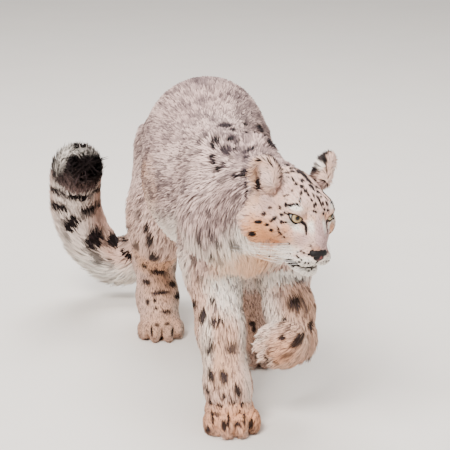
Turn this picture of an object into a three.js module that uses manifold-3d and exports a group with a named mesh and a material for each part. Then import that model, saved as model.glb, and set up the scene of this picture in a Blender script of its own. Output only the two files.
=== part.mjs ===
// A snow leopard as a life-size museum model, caught in a slow walk with its left forefoot lifted.
// Millimetres, +Z up. It faces -Y, its own right side is towards -X, and its feet stand on Z = 0.
import * as THREE from "three";
import { mergeVertices } from "three/addons/utils/BufferGeometryUtils.js";
import Module from "manifold-3d";

const wasm = await Module();
wasm.setup();

// Driving dimensions
const GAP = 0.35; // between two sub-parts that touch
const EYE_RADIUS = 15.5;
const LID = 3; // how far the lids stand off the eye
const EYE_OPENING = { halfWidth: 15, halfHeight: 9, slant: 0.3 };
const EYE_PLACE = { left: 32, ahead: 51, up: 22.5 }; // from the middle of the head
const LIP_GROOVE = 2.2; // radius of the line of the mouth
const LIPS_FROM = [0, 54, -50]; // the point inside the muzzle that the lips lie round
const PHILTRUM_FROM = [0, 54, -41];
const NOSE = { ahead: 100, up: -30, halfWidth: 18, halfDepth: 13, halfHeight: 12.5, taper: 0.3 };
const NOSTRIL = { side: 8.5, ahead: 13, up: 1, half: [4, 6, 3] }; // from the middle of the nose
const EAR = { halfWidth: 27, halfDepth: 17, halfHeight: 35, wall: 5 };
const TAIL_CORE = 37; // dense under-coat of the tail
const TAIL_RADIUS = 60; // out to the tips of the tail's locks
const TAIL_LENGTHS = 4;
const PAW = { forward: 50, halfWidth: 50, height: 58 };
const SOLE = 0; // level of the floor
const FAR = 1500; // longer than the animal, for the boxes that cut
const NEAR = 170; // a box that cuts one length of tail and nothing beside it

const at = (x, y, z) => new THREE.Vector3(x, y, z);
const clamp = THREE.MathUtils.clamp;
const mix = THREE.MathUtils.lerp;
const degrees = THREE.MathUtils.degToRad;
const X = at(1, 0, 0);
const UP = at(0, 0, 1);
const AHEAD = at(0, -1, 0);
const DOWN = at(0, 0, -1);

// Fields: each is negative inside the flesh and about a distance outside it.
function ellipsoid([cx, cy, cz], [rx, ry, rz]) {
  return (p) => {
    const x = p.x - cx;
    const y = p.y - cy;
    const z = p.z - cz;
    const near = Math.hypot(x / rx, y / ry, z / rz);
    const slope = Math.hypot(x / (rx * rx), y / (ry * ry), z / (rz * rz));
    return slope < 1e-9 ? -Math.min(rx, ry, rz) : (near * (near - 1)) / slope;
  };
}

// A bone with flesh on it, of one radius at each end.
function limb([ax, ay, az], [bx, by, bz], startRadius, endRadius) {
  const length2 = (bx - ax) ** 2 + (by - ay) ** 2 + (bz - az) ** 2;
  return (p) => {
    const along = (p.x - ax) * (bx - ax) + (p.y - ay) * (by - ay) + (p.z - az) * (bz - az);
    const t = clamp(along / length2, 0, 1);
    const away = Math.hypot(p.x - mix(ax, bx, t), p.y - mix(ay, by, t), p.z - mix(az, bz, t));
    return away - mix(startRadius, endRadius, t);
  };
}

const chain = (joints) =>
  joints.slice(1).map(({ place, radius }, i) => limb(joints[i].place, place, joints[i].radius, radius));

// Several fields run into one another over the given width.
function blend(width, fields) {
  return (p) => {
    let least = 1e6;
    for (const field of fields) {
      const d = field(p);
      const h = Math.max(width - Math.abs(least - d), 0) / width;
      least = Math.min(least, d) - (h * h * width) / 4;
    }
    return least;
  };
}

// A trunk whose slices across Y are ellipses, through evenly spaced stations.
function lofted(stations, cap) {
  const middles = stations.map(({ centre }) => at(...centre));
  const middle = new THREE.CatmullRomCurve3(middles, false, "catmullrom");
  const half = new THREE.CatmullRomCurve3(stations.map((s) => at(...s.half)), false, "catmullrom");
  const [start, end] = [stations[0].centre[1], stations.at(-1).centre[1]];
  const centre = at(0, 0, 0);
  const size = at(0, 0, 0);
  return (p) => {
    const t = clamp((p.y - start) / (end - start), 0, 1);
    middle.getPoint(t, centre);
    half.getPoint(t, size);
    const beyond = p.y - mix(start, end, t);
    return ellipsoid([centre.x, p.y - beyond, centre.z], [size.x, cap, size.z])(p);
  };
}

// How far a ray goes from a point inside the flesh to the outside.
function depthAlong(field, from, way, reach = 320) {
  const stride = 5;
  const probe = at(0, 0, 0);
  const inside = (d) => field(probe.copy(way).multiplyScalar(d).add(from)) < 0;
  let near = 0;
  let far = stride;
  while (far < reach && inside(far)) {
    near = far;
    far += stride;
  }
  for (let halving = 0; halving < 12; halving++) {
    const middle = (near + far) / 2;
    if (inside(middle)) near = middle;
    else far = middle;
  }
  return near;
}

const surfaceFrom = (field, from, way) =>
  way.clone().normalize().multiplyScalar(depthAlong(field, from, way.clone().normalize())).add(from);

// Solids
function solidOf(geometry) {
  const bare = new THREE.BufferGeometry().setAttribute("position", geometry.getAttribute("position"));
  const merged = mergeVertices(geometry.index ? bare.setIndex(geometry.index) : bare, 1e-4);
  const corners = merged.index.array;
  const kept = [];
  for (let i = 0; i < corners.length; i += 3) {
    const [a, b, c] = corners.subarray(i, i + 3);
    if (a !== b && b !== c && c !== a) kept.push(a, b, c);
  }
  return new wasm.Manifold(
    new wasm.Mesh({
      numProp: 3,
      vertProperties: merged.attributes.position.array,
      triVerts: new Uint32Array(kept),
    }),
  );
}

// Only the main body is kept where a cut leaves loose scraps.
const largest = (solid) => solid.decompose().reduce((a, b) => (b.volume() > a.volume() ? b : a));

// All that lies ahead of a plane, as one box with a face on the plane.
function ahead({ point, normal }, shift = 0, size = FAR) {
  const box = new THREE.BoxGeometry(size, size, size);
  box.translate(0, 0, size / 2 + shift);
  box.applyQuaternion(new THREE.Quaternion().setFromUnitVectors(UP, normal));
  box.translate(point.x, point.y, point.z);
  return solidOf(box);
}

// What lies on one side of a plane, less half the gap between two sub-parts.
const opposite = ({ point, normal }) => ({ point, normal: normal.clone().negate() });
const behindPlane = (solid, plane, size) => solid.subtract(ahead(plane, -GAP / 2, size));
const aheadOfPlane = (solid, plane, size) => solid.subtract(ahead(opposite(plane), -GAP / 2, size));

// Shrinks a capsule on to a form: its rays leave an axis and stop where they come out of the flesh.
// spot(t) gives a point of the axis and the directions that the capsule's own X and Y take there.
function wrap(field, spot, { radial, caps, rows, grow = 0 }) {
  const height = 10;
  const capsule = new THREE.CapsuleGeometry(1, height, caps, radial, rows);
  const position = capsule.getAttribute("position");
  const grown = (p) => field(p) - grow;
  const corner = at(0, 0, 0);
  for (let i = 0; i < position.count; i++) {
    corner.fromBufferAttribute(position, i);
    const onAxis = clamp(corner.y, -height / 2, height / 2);
    const { point, side, along } = spot(onAxis / height + 0.5);
    const third = side.clone().cross(along);
    const way = side.clone().multiplyScalar(corner.x);
    way.addScaledVector(along, corner.y - onAxis).addScaledVector(third, corner.z);
    const out = surfaceFrom(grown, point, way);
    position.setXYZ(i, out.x, out.y, out.z);
  }
  return solidOf(capsule);
}

// An axis whose slices all face the same way.
function steadyAxis(points, side, along) {
  const curve = new THREE.CatmullRomCurve3(points.map((p) => (p.isVector3 ? p : at(...p))));
  return (t) => ({ point: curve.getPointAt(t), side, along });
}

// A ball, stretched along three directions of its own.
function stretchedBall(centre, [right, front, top], [a, b, c], round = 14, high = 10) {
  const sphere = new THREE.SphereGeometry(1, round, high).rotateX(Math.PI / 2);
  const matrix = new THREE.Matrix4().makeBasis(right, front, top).scale(at(a, b, c)).setPosition(centre);
  return solidOf(matrix.determinant() < 0 ? mirrored(sphere, matrix) : sphere.applyMatrix4(matrix));
}

// A mirroring matrix turns faces inside out, so the ball is mirrored in itself first.
const mirrored = (sphere, matrix) =>
  sphere.applyMatrix4(matrix.multiply(new THREE.Matrix4().makeScale(-1, 1, 1)));

const ball = (centre, radius, round, high) =>
  stretchedBall(centre, [X, AHEAD.clone().negate(), UP], [radius, radius, radius], round, high);

// Locks of the long coat
let seed = 20417;
// Evenly spread numbers between two limits, the same at every run
function vary(low, high) {
  seed = (seed * 16807) % 2147483647;
  return mix(low, high, seed / 2147483647);
}

// A lock is a flat, tapered blade. spine(s) gives its middle line from root to tip, with its
// own directions across and out of the coat.
const LOCK_ROWS = 3;
const lockTaper = new THREE.SplineCurve(
  [0.8, 1, 0.72, 0].map((width, row) => new THREE.Vector2(row / LOCK_ROWS, width)),
);

function lock(spine, width, thick) {
  const cone = new THREE.ConeGeometry(1, 1, 4, LOCK_ROWS);
  const position = cone.getAttribute("position");
  for (let i = 0; i < position.count; i++) {
    const s = position.getY(i) + 0.5;
    const spread = s > 0.999 ? 0 : lockTaper.getPoint(s).y / (1 - s);
    const { point, across, out } = spine(s);
    const corner = point.clone().addScaledVector(across, (position.getX(i) * spread * width) / 2);
    corner.addScaledVector(out, (position.getZ(i) * spread * thick) / 2);
    position.setXYZ(i, corner.x, corner.y, corner.z);
  }
  return solidOf(cone);
}

// A lock that leaves a surface at a point, runs along the coat's lie and sags towards its tip.
function lyingLock(point, out, lie, { length, width, thick, sink, lift, sag }) {
  const along = lie.clone().addScaledVector(out, -lie.dot(out)).normalize();
  const across = along.clone().cross(out);
  return lock(
    (s) => ({
      point: point
        .clone()
        .addScaledVector(along, length * s)
        .addScaledVector(out, mix(-sink, lift, Math.sin((s * Math.PI) / 2)))
        .addScaledVector(DOWN, sag * s * s),
      across,
      out,
    }),
    width,
    thick,
  );
}

// The way out of a form at a point of its surface.
function outwards(field, p) {
  const slope = (way) => field(p.clone().add(way)) - field(p.clone().sub(way));
  return at(slope(X), -slope(AHEAD), slope(UP)).normalize();
}

// Locks in rows from a line inside a form: each row is a point of the line and turns about its own way.
function rowsOfLocks(field, rows, lie, size) {
  const locks = [];
  for (const { from, way, turns, about } of rows) {
    for (const turn of turns) {
      const aim = way.clone().applyAxisAngle(about, degrees(turn + vary(-4, 4)));
      const root = surfaceFrom(field, from, aim);
      const length = size.length * vary(0.85, 1.15);
      const shape = { ...size, length, width: size.width * vary(0.85, 1.15) };
      locks.push(lyingLock(root, outwards(field, root), lie(turn), shape));
    }
  }
  return wasm.Manifold.union(locks);
}

// Trunk: stations down the back, each a middle and half sizes across and up
const TRUNK = [
  { centre: [25, 380, 446], half: [110, 0, 108] },
  { centre: [4, 260, 460], half: [133, 0, 128] },
  { centre: [-22, 140, 434], half: [133, 0, 126] },
  { centre: [-33, 20, 415], half: [132, 0, 134] },
  { centre: [-20, -100, 412], half: [117, 0, 136] },
  { centre: [8, -220, 408], half: [93, 0, 116] },
];
const TRUNK_CAP = 78;

// Legs: joints from the trunk down, each a place and the radius of flesh and coat there
const LEGS = {
  foreleg_right: {
    root: { place: [-44, -205, 420], radius: 74 },
    joints: [
      { place: [-50, -160, 330], radius: 62 },
      { place: [-46, -150, 275], radius: 54 },
      { place: [-42, -205, 175], radius: 46 },
      { place: [-39, -262, 80], radius: 42 },
      { place: [-38, -290, 40], radius: 40 },
    ],
    paw: { heel: [-38, -290, 19], forward: [-0.05, -1, 0], top: [0, 0, 1], size: 1.06 },
  },
  foreleg_left: {
    root: { place: [62, -205, 418], radius: 74 },
    joints: [
      { place: [82, -165, 330], radius: 58 },
      { place: [88, -160, 280], radius: 52 },
      { place: [92, -225, 218], radius: 46 },
      { place: [92, -268, 172], radius: 41 },
      { place: [76, -276, 156], radius: 38 },
    ],
    paw: { heel: [70, -276, 164], forward: [-0.86, 0.26, -0.4], top: [-0.25, -0.93, 0.2], size: 0.84 },
  },
  hindleg_right: {
    root: { place: [-46, 300, 410], radius: 98 },
    joints: [
      { place: [-86, 238, 310], radius: 76 },
      { place: [-98, 240, 262], radius: 66 },
      { place: [-94, 335, 196], radius: 52 },
      { place: [-92, 376, 155], radius: 47 },
      { place: [-92, 335, 72], radius: 45 },
      { place: [-92, 300, 40], radius: 42 },
    ],
    paw: { heel: [-92, 292, 18], forward: [-0.1, -1, 0], top: [0, 0, 1], size: 0.98 },
  },
  hindleg_left: {
    root: { place: [56, 290, 410], radius: 98 },
    joints: [
      { place: [68, 185, 325], radius: 76 },
      { place: [74, 150, 282], radius: 64 },
      { place: [82, 198, 196], radius: 50 },
      { place: [84, 212, 148], radius: 45 },
      { place: [80, 140, 66], radius: 42 },
      { place: [79, 95, 40], radius: 41 },
    ],
    paw: { heel: [78, 86, 18], forward: [0.02, -1, 0], top: [0, 0, 1], size: 0.98 },
  },
};
const SHOULDER_BLADES = [
  limb([-50, -110, 508], [-50, -205, 410], 42, 66),
  limb([46, -115, 506], [62, -205, 410], 42, 66),
];

// The top of each leg swells out of the trunk, a little thinner than the leg itself.
const swell = ({ root, joints }) => limb(root.place, joints[0].place, root.radius, joints[0].radius - 8);

const NECK = [
  { place: [8, -190, 424], radius: 96 },
  { place: [32, -292, 452], radius: 84 },
  { place: [46, -366, 470], radius: 72 },
];

const trunkField = blend(40, [
  lofted(TRUNK, TRUNK_CAP),
  ...Object.values(LEGS).map(swell),
  ...SHOULDER_BLADES,
  ...chain(NECK),
]);
const trunkAxis = steadyAxis(TRUNK.map(({ centre }) => centre), X, AHEAD);
const TRUNK_MESH = { radial: 24, caps: 4, rows: 17 };

// Head frame: origin inside the skull, with axes to its own left, ahead and up
const HEAD = {
  place: at(56, -420, 472),
  yaw: degrees(21),
  pitch: degrees(17),
  roll: degrees(5.5),
  size: 1.04,
};
const headTurn = new THREE.Matrix4()
  .makeRotationZ(HEAD.yaw)
  .multiply(new THREE.Matrix4().makeRotationX(HEAD.pitch))
  .multiply(new THREE.Matrix4().makeRotationY(HEAD.roll));
const headWay = (left, forward, up) => at(left, -forward, up).transformDirection(headTurn);
const HEAD_LEFT = headWay(1, 0, 0);
const HEAD_AHEAD = headWay(0, 1, 0);
const HEAD_UP = headWay(0, 0, 1);
const onHead = (left, forward, up) =>
  HEAD.place
    .clone()
    .addScaledVector(HEAD_LEFT, left * HEAD.size)
    .addScaledVector(HEAD_AHEAD, forward * HEAD.size)
    .addScaledVector(HEAD_UP, up * HEAD.size);
const fromHead = (field) => (p) => {
  const from = p.clone().sub(HEAD.place).divideScalar(HEAD.size);
  return field(at(from.dot(HEAD_LEFT), from.dot(HEAD_AHEAD), from.dot(HEAD_UP))) * HEAD.size;
};

// Both forms of a pair, given for the left side.
const paired = ([x, y, z], half) => [ellipsoid([x, y, z], half), ellipsoid([-x, y, z], half)];

const skull = blend(18, [
  ellipsoid([0, -14, 8], [67, 74, 60]),
  ellipsoid([0, 32, 24], [47, 36, 32]),
  ellipsoid([0, 44, -12], [45, 50, 40]),
  ...paired([48, 18, -8], [26, 40, 28]),
  ...paired([57, -16, -30], [29, 36, 36]),
  ...paired([28, 45, 38], [17, 16, 8]),
]);
const muzzle = blend(9, [
  limb([0, 50, 17], [0, 90, -16], 21, 15.5),
  ellipsoid([0, 74, -35], [31, 36, 24]),
  ...paired([18, 84, -43], [20, 23, 16]),
  ellipsoid([0, 68, -69], [24, 34, 16]),
  ellipsoid([0, 28, -54], [38, 52, 27]),
]);
const headField = fromHead(blend(12, [skull, muzzle]));
const bodyField = blend(30, [trunkField, headField]);

// Where the neck parts from the trunk and from the head
const THROAT_CUT = { point: at(26, -262, 440), normal: at(0.2, -0.93, 0.3).normalize() };
const NAPE_CUT = { point: onHead(0, -42, 0), normal: headWay(0, 1, 0.25) };

// Long hair under the belly and between the forelegs
const underRows = (ys, turns) =>
  ys.map((y, i) => {
    const t = (y - TRUNK[0].centre[1]) / (TRUNK.at(-1).centre[1] - TRUNK[0].centre[1]);
    const from = trunkAxis(clamp(t, 0, 1)).point.setY(y);
    return { from, way: DOWN, turns: turns.map((turn) => turn + (i % 2 ? 9 : -9)), about: AHEAD };
  });
const BELLY = { rows: underRows([220, 130, 40], [-30, 0, 30]), length: 85, width: 62, thick: 14 };
const CHEST_ROWS = underRows([-100, -150, -200, -245], [-40, -13, 13, 40]);
const CHEST = { rows: CHEST_ROWS, length: 56, width: 46, thick: 15 };
const UNDER = { sink: 12, lift: 4, sag: 16 };

function makeTorso(legs) {
  const skin = wrap(trunkField, trunkAxis, TRUNK_MESH);
  const belly = rowsOfLocks(trunkField, BELLY.rows, () => at(0, 1, -0.35), { ...UNDER, ...BELLY });
  const chest = rowsOfLocks(trunkField, CHEST.rows, () => at(0, 0.55, -0.8), { ...UNDER, ...CHEST });
  const locks = legs.reduce((rest, leg) => rest.subtract(leg), belly.add(chest));
  return behindPlane(skin.add(locks), THROAT_CUT);
}

function makeNeck() {
  const along = at(0, THROAT_CUT.normal.y, THROAT_CUT.normal.z).normalize();
  const axis = steadyAxis([[10, -215, 425], NECK[1].place, [50, -390, 470]], X, along);
  const skin = wrap(bodyField, axis, { radial: 24, caps: 2, rows: 8 });
  const rows = [0.35, 0.55, 0.75].map((t, i) => {
    const turns = [-42, -14, 14, 42].map((turn) => turn + (i % 2 ? 8 : -8));
    return { from: axis(t).point, way: DOWN, turns, about: AHEAD };
  });
  const size = { length: 62, width: 44, thick: 12, sink: 10, lift: 3, sag: 16 };
  const throat = rowsOfLocks(bodyField, rows, () => at(0, 0.5, -0.85), size);
  return behindPlane(aheadOfPlane(skin.add(throat), THROAT_CUT), NAPE_CUT);
}

// Head
const pupilWay = (side) => headWay(0.42 * side, 0.9, -0.04);
const eyeCentre = (side) => onHead(EYE_PLACE.left * side, EYE_PLACE.ahead, EYE_PLACE.up);
const EYES = {
  eye_right: { centre: eyeCentre(-1), way: pupilWay(-1), side: -1 },
  eye_left: { centre: eyeCentre(1), way: pupilWay(1), side: 1 },
};

const RUFF = { length: 42, width: 34, thick: 11, sink: 7, lift: 2, sag: 3 };

function makeHeadSkin(grow) {
  const axis = (t) => ({
    point: onHead(0, mix(-25, 84, t), mix(0, -30, t)),
    side: HEAD_LEFT,
    along: HEAD_AHEAD,
  });
  const field = blend(30, [headField, ...chain(NECK)]);
  return wrap(field, axis, { radial: 28, caps: 6, rows: 11, grow });
}

// The slit between the lids, as a prism along the way the eye looks: two arcs that meet at the corners.
function eyeSlit({ centre, way, side }) {
  const { halfWidth, halfHeight, slant } = EYE_OPENING;
  const arc = (halfWidth ** 2 + halfHeight ** 2) / (2 * halfHeight);
  const across = HEAD_LEFT.clone().multiplyScalar(side).addScaledVector(HEAD_UP, slant);
  across.addScaledVector(way, -across.dot(way)).normalize();
  const upright = across.clone().cross(way).multiplyScalar(-side).normalize();
  const long = 3 * EYE_RADIUS;
  const rounds = [-1, 1].map((lid) => {
    const prism = new THREE.CylinderGeometry(arc, arc, long, 28).translate(0, long / 2, 0);
    prism.applyQuaternion(new THREE.Quaternion().setFromUnitVectors(at(0, 1, 0), way));
    const middle = centre.clone().addScaledVector(upright, lid * (arc - halfHeight));
    return solidOf(prism.translate(middle.x, middle.y, middle.z));
  });
  return rounds[0].intersect(rounds[1]);
}

// A groove that follows the surface of the head through the given directions from a point inside it.
function groove(from, ways, radius) {
  const line = new THREE.CatmullRomCurve3(ways.map((way) => surfaceFrom(headField, from, way)));
  const tube = new THREE.TubeGeometry(line, ways.length, radius, 4, false);
  return solidOf(capped(tube, ways.length, 4));
}

// Closes both ends of a tube with a fan of triangles.
function capped(tube, rows, round) {
  const corners = [...tube.index.array];
  const ring = round + 1;
  for (let i = 1; i < round - 1; i++) {
    corners.push(0, i, i + 1);
    corners.push(rows * ring, rows * ring + i + 1, rows * ring + i);
  }
  return tube.setIndex(corners);
}

const noseCentre = onHead(0, NOSE.ahead, NOSE.up);
const noseBasis = [HEAD_LEFT, HEAD_AHEAD.clone().negate(), HEAD_UP];
function makeNose(grow) {
  const sphere = new THREE.SphereGeometry(1, 12, 8).rotateX(Math.PI / 2);
  const position = sphere.getAttribute("position");
  for (let i = 0; i < position.count; i++) {
    const taper = 1 + NOSE.taper * position.getZ(i);
    position.setX(i, position.getX(i) * taper);
  }
  const size = at(NOSE.halfWidth + grow, NOSE.halfDepth + grow, NOSE.halfHeight + grow);
  const basis = new THREE.Matrix4().makeBasis(...noseBasis);
  const nose = solidOf(sphere.applyMatrix4(basis.scale(size).setPosition(noseCentre)));
  if (grow) return nose;
  const nostrils = [-1, 1].map((side) => {
    const middle = onHead(side * NOSTRIL.side, NOSE.ahead + NOSTRIL.ahead, NOSE.up + NOSTRIL.up);
    return stretchedBall(middle, noseBasis, NOSTRIL.half, 8, 5);
  });
  return nose.subtract(nostrils[0]).subtract(nostrils[1]);
}

function makeHead() {
  const rows = [-1, 1].flatMap((side) =>
    [14, -8].map((forward) => ({
      from: onHead(0, forward, -22),
      way: headWay(side, 0, 0),
      turns: (forward > 0 ? [-20, 16] : [0, 36]).map((turn) => turn * side),
      about: HEAD_AHEAD,
    })),
  );
  const ruff = rowsOfLocks(headField, rows, () => headWay(0, -1, -0.55), RUFF);
  let head = aheadOfPlane(makeHeadSkin(0).add(ruff), NAPE_CUT);
  for (const eye of Object.values(EYES)) {
    head = head.add(ball(eye.centre, EYE_RADIUS + LID, 16, 10));
    head = head.subtract(eyeSlit(eye)).subtract(ball(eye.centre, EYE_RADIUS + GAP, 14, 9));
  }
  const mouth = Array.from({ length: 11 }, (_, i) => {
    const turn = degrees(mix(-76, 76, i / 10));
    return headWay(Math.sin(turn), Math.cos(turn), -0.06 + 0.1 * Math.abs(Math.sin(turn)) ** 3);
  });
  const philtrum = [-0.28, -0.16, 0].map((rise) => headWay(0, 1, rise));
  head = head.subtract(groove(onHead(...LIPS_FROM), mouth, LIP_GROOVE));
  head = head.subtract(groove(onHead(...PHILTRUM_FROM), philtrum, LIP_GROOVE * 0.7));
  return head.subtract(makeNose(GAP));
}

// Ears: a cup that faces the given way, sunk into the head at its foot
const EARS = {
  ear_right: { foot: [-60, -20, 52], top: [-0.26, -0.14, 1], facing: [-0.8, 0.55, 0.1] },
  ear_left: { foot: [60, -20, 52], top: [0.26, -0.14, 1], facing: [0.55, 0.82, 0.1] },
};

function makeEar({ foot, top, facing }, skin) {
  const up = headWay(...top);
  const front = headWay(...facing);
  front.addScaledVector(up, -front.dot(up)).normalize();
  const across = up.clone().cross(front).negate();
  const middle = onHead(...foot).addScaledVector(up, EAR.halfHeight * 0.42);
  const basis = [across, front, up];
  const { halfWidth, halfDepth, halfHeight, wall } = EAR;
  const outer = stretchedBall(middle, basis, [halfWidth, halfDepth, halfHeight], 16, 9);
  const hollow = middle.clone().addScaledVector(front, halfDepth * 0.62);
  const inner = stretchedBall(hollow, basis, [halfWidth - wall, halfDepth, halfHeight - wall], 16, 9);
  return outer.subtract(inner).subtract(skin);
}

// Legs and paws
function makeLegSkin({ root, joints }, grow = 0) {
  const field = blend(24, chain([root, ...joints]));
  const axis = steadyAxis([root, ...joints].map(({ place }) => place), X, DOWN);
  return wrap(field, axis, { radial: 16, caps: 2, rows: 13, grow });
}

// A paw in its own frame, as across, forward and up: a broad pad and four toes.
const TOES = [
  [-37, 22],
  [-14, 42],
  [14, 42],
  [37, 22],
];
const pawShape = blend(9, [
  ellipsoid([0, -14, 22], [PAW.halfWidth - 4, PAW.forward, 34]),
  ellipsoid([0, 12, 14], [PAW.halfWidth - 2, 40, 26]),
  ...TOES.map(([side, forward]) => ellipsoid([side, forward, 12], [16, 27, 24])),
]);

function makePawSkin({ heel, forward, top, size }) {
  const place = at(...heel);
  const front = at(...forward).normalize();
  const up = at(...top).addScaledVector(front, -at(...top).dot(front)).normalize();
  const across = front.clone().cross(up);
  const field = (p) => {
    const from = p.clone().sub(place).divideScalar(size);
    return pawShape(at(from.dot(across), from.dot(front), from.dot(up) + 12)) * size;
  };
  const axis = (t) => ({
    point: place.clone().addScaledVector(front, mix(-22, 20, t) * size),
    side: across,
    along: front,
  });
  return wrap(field, axis, { radial: 20, caps: 5, rows: 4 });
}

function makeLimb(leg, torso) {
  const [shin, ankle] = leg.joints.slice(-2).map(({ place }) => at(...place));
  const legSkin = makeLegSkin(leg);
  const lifted = leg.paw.top[2] < 0.9;
  const cut = lifted
    ? { point: shin.clone().lerp(ankle, 0.5), normal: ankle.clone().sub(shin).normalize() }
    : { point: at(0, 0, PAW.height + 8), normal: DOWN };
  const floor = ahead({ point: at(0, 0, SOLE), normal: DOWN });
  const foot = makePawSkin(leg.paw).add(legSkin).subtract(floor);
  return {
    leg: behindPlane(legSkin, cut).subtract(torso),
    grown: makeLegSkin(leg, GAP),
    paw: aheadOfPlane(foot, cut, lifted ? FAR : undefined),
  };
}

// Tail: the way its middle runs from the rump to the tip
const TAIL_ROUTE = [
  [18, 425, 452],
  [0, 472, 385],
  [-20, 500, 292],
  [-48, 526, 192],
  [-90, 552, 120],
  [-146, 562, 97],
  [-204, 556, 134],
  [-242, 534, 208],
  [-254, 496, 292],
  [-254, 438, 350],
  [-250, 388, 368],
];
const tailCurve = new THREE.CatmullRomCurve3(TAIL_ROUTE.map((p) => at(...p)));
const TAIL_BEADS = 90;
const LAP = 0.06; // how far each length runs past its cut before it is cut

// The tail is a little thinner where it leaves the rump.
const tailRadius = (t, full) => full * (0.78 + 0.22 * Math.min(1, t * 4));

// The frames turn as little as they can along the curve, so that the coat isn't twisted.
const TAIL_FRAMES = 200;
const tailFrames = tailCurve.computeFrenetFrames(TAIL_FRAMES, false);

// Between two of the frames, for what has to follow the curve closely
function smoothSpot(t) {
  const i = Math.min(Math.floor(t * TAIL_FRAMES), TAIL_FRAMES - 1);
  const part = t * TAIL_FRAMES - i;
  const side = tailFrames.normals[i].clone().lerp(tailFrames.normals[i + 1], part).normalize();
  const along = tailFrames.tangents[i].clone().lerp(tailFrames.tangents[i + 1], part).normalize();
  return { point: tailCurve.getPointAt(t), side, along };
}

function tailSpot(t) {
  const i = Math.round(t * TAIL_FRAMES);
  const point = tailCurve.getPointAt(i / TAIL_FRAMES);
  return { point, side: tailFrames.normals[i], along: tailFrames.tangents[i] };
}

// The core ends where the locks of the tip take over.
const TAIL_CORE_END = 0.97;
const tailBeads = Array.from({ length: TAIL_BEADS + 1 }, (_, i) => {
  const t = (i / TAIL_BEADS) * TAIL_CORE_END;
  return { place: tailCurve.getPointAt(t), radius: tailRadius(t, TAIL_CORE) };
});
const tailCore = (p) => Math.min(...tailBeads.map(({ place, radius }) => place.distanceTo(p) - radius));

// A lock of the tail follows its bends, and rises from the core towards the tip's radius.
function tailLock(start, angle, length, width) {
  const last = tailSpot(1);
  return lock((s) => {
    const t = start + (length * s) / tailCurve.getLength();
    const { point, side, along } = t > 1 ? last : smoothSpot(t);
    const out = side.clone().applyAxisAngle(along, angle);
    const past = Math.max(0, t - 1) * tailCurve.getLength();
    const rise = mix(TAIL_CORE * 0.85, TAIL_RADIUS, Math.sin((Math.min(s * 1.4, 1) * Math.PI) / 2));
    const radius = tailRadius(t, rise) * Math.sqrt(Math.max(0, 1 - (past / TAIL_RADIUS) ** 2));
    const middle = point.clone().addScaledVector(along, past).addScaledVector(out, radius);
    return { point: middle, across: along.clone().cross(out), out };
  }, width, 13);
}

const TAIL_RINGS = 9;
const TAIL_AROUND = 5;
const TAIL_LOCKS = [];
for (let ring = 0; ring < TAIL_RINGS; ring++) {
  for (let i = 0; i < TAIL_AROUND; i++) {
    const start = mix(0.03, 0.965, ring / (TAIL_RINGS - 1)) + vary(-0.01, 0.01);
    const angle = ((i + (ring % 2) / 2 + vary(-0.1, 0.1)) / TAIL_AROUND) * Math.PI * 2;
    const length = vary(112, 130) * (start > 0.9 ? 0.62 : 1);
    const width = vary(62, 72);
    TAIL_LOCKS.push({ start, make: () => tailLock(start, angle, length, width) });
  }
}

function makeTailLength(index, torso) {
  const start = index / TAIL_LENGTHS;
  const end = (index + 1) / TAIL_LENGTHS;
  const span = (t) => tailSpot(clamp(mix(start - LAP, end + LAP, t), 0, TAIL_CORE_END));
  const core = wrap(tailCore, span, { radial: 10, caps: 2, rows: 7 });
  const mine = TAIL_LOCKS.filter(({ start: t }) => t > start - LAP * 2 && t < end + LAP);
  let length = wasm.Manifold.union([core, ...mine.map(({ make }) => make())]);
  const planeAt = (t) => ({ point: tailCurve.getPointAt(t), normal: tailCurve.getTangentAt(t) });
  if (index > 0) length = aheadOfPlane(length, planeAt(start), NEAR);
  if (index < TAIL_LENGTHS - 1) length = behindPlane(length, planeAt(end), NEAR);
  return index === 0 ? length.subtract(torso) : length;
}

// Assembly
const finish = (color, roughness) => new THREE.MeshStandardMaterial({ color, roughness, metalness: 0 });
const COAT = 0xb8aca0;
const model = new THREE.Group();

function add(name, solid, color = COAT, roughness = 0.95) {
  const { vertProperties, triVerts, numProp } = largest(solid).getMesh();
  const geometry = new THREE.BufferGeometry();
  geometry.setAttribute("position", new THREE.BufferAttribute(new Float32Array(vertProperties), numProp));
  geometry.setIndex(new THREE.BufferAttribute(triVerts, 1));
  geometry.computeVertexNormals();
  const mesh = new THREE.Mesh(geometry, finish(color, roughness));
  mesh.name = name;
  model.add(mesh);
}

const grownTorso = wrap(trunkField, trunkAxis, { ...TRUNK_MESH, grow: GAP });
const grownHead = makeHeadSkin(GAP);
add("neck", makeNeck());
add("head", makeHead());
add("nose", makeNose(0), 0x4a3a3a, 0.5);
for (const [name, { centre }] of Object.entries(EYES)) {
  add(name, ball(centre, EYE_RADIUS, 14, 9), 0x8a8560, 0.1);
}
for (const [name, ear] of Object.entries(EARS)) add(name, makeEar(ear, grownHead));
const limbs = Object.entries(LEGS).map(([name, shape]) => ({ name, ...makeLimb(shape, grownTorso) }));
for (const { name, leg, paw } of limbs) {
  add(name, leg);
  add(name.replace("foreleg", "forepaw").replace("hindleg", "hindpaw"), paw);
}
add("torso", makeTorso(limbs.map(({ grown }) => grown)));
for (let i = 0; i < TAIL_LENGTHS; i++) add(`tail_${i + 1}`, makeTailLength(i, grownTorso));

// The frame's origin is under the middle of the whole animal, on the floor.
const box = new THREE.Box3().setFromObject(model);
model.position.set(-(box.min.x + box.max.x) / 2, -(box.min.y + box.max.y) / 2, -box.min.z);

export default model;
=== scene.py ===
import math
import bpy
import numpy as np
import openvdb
from mathutils import Matrix, Vector
from mathutils.bvhtree import BVHTree


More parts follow.
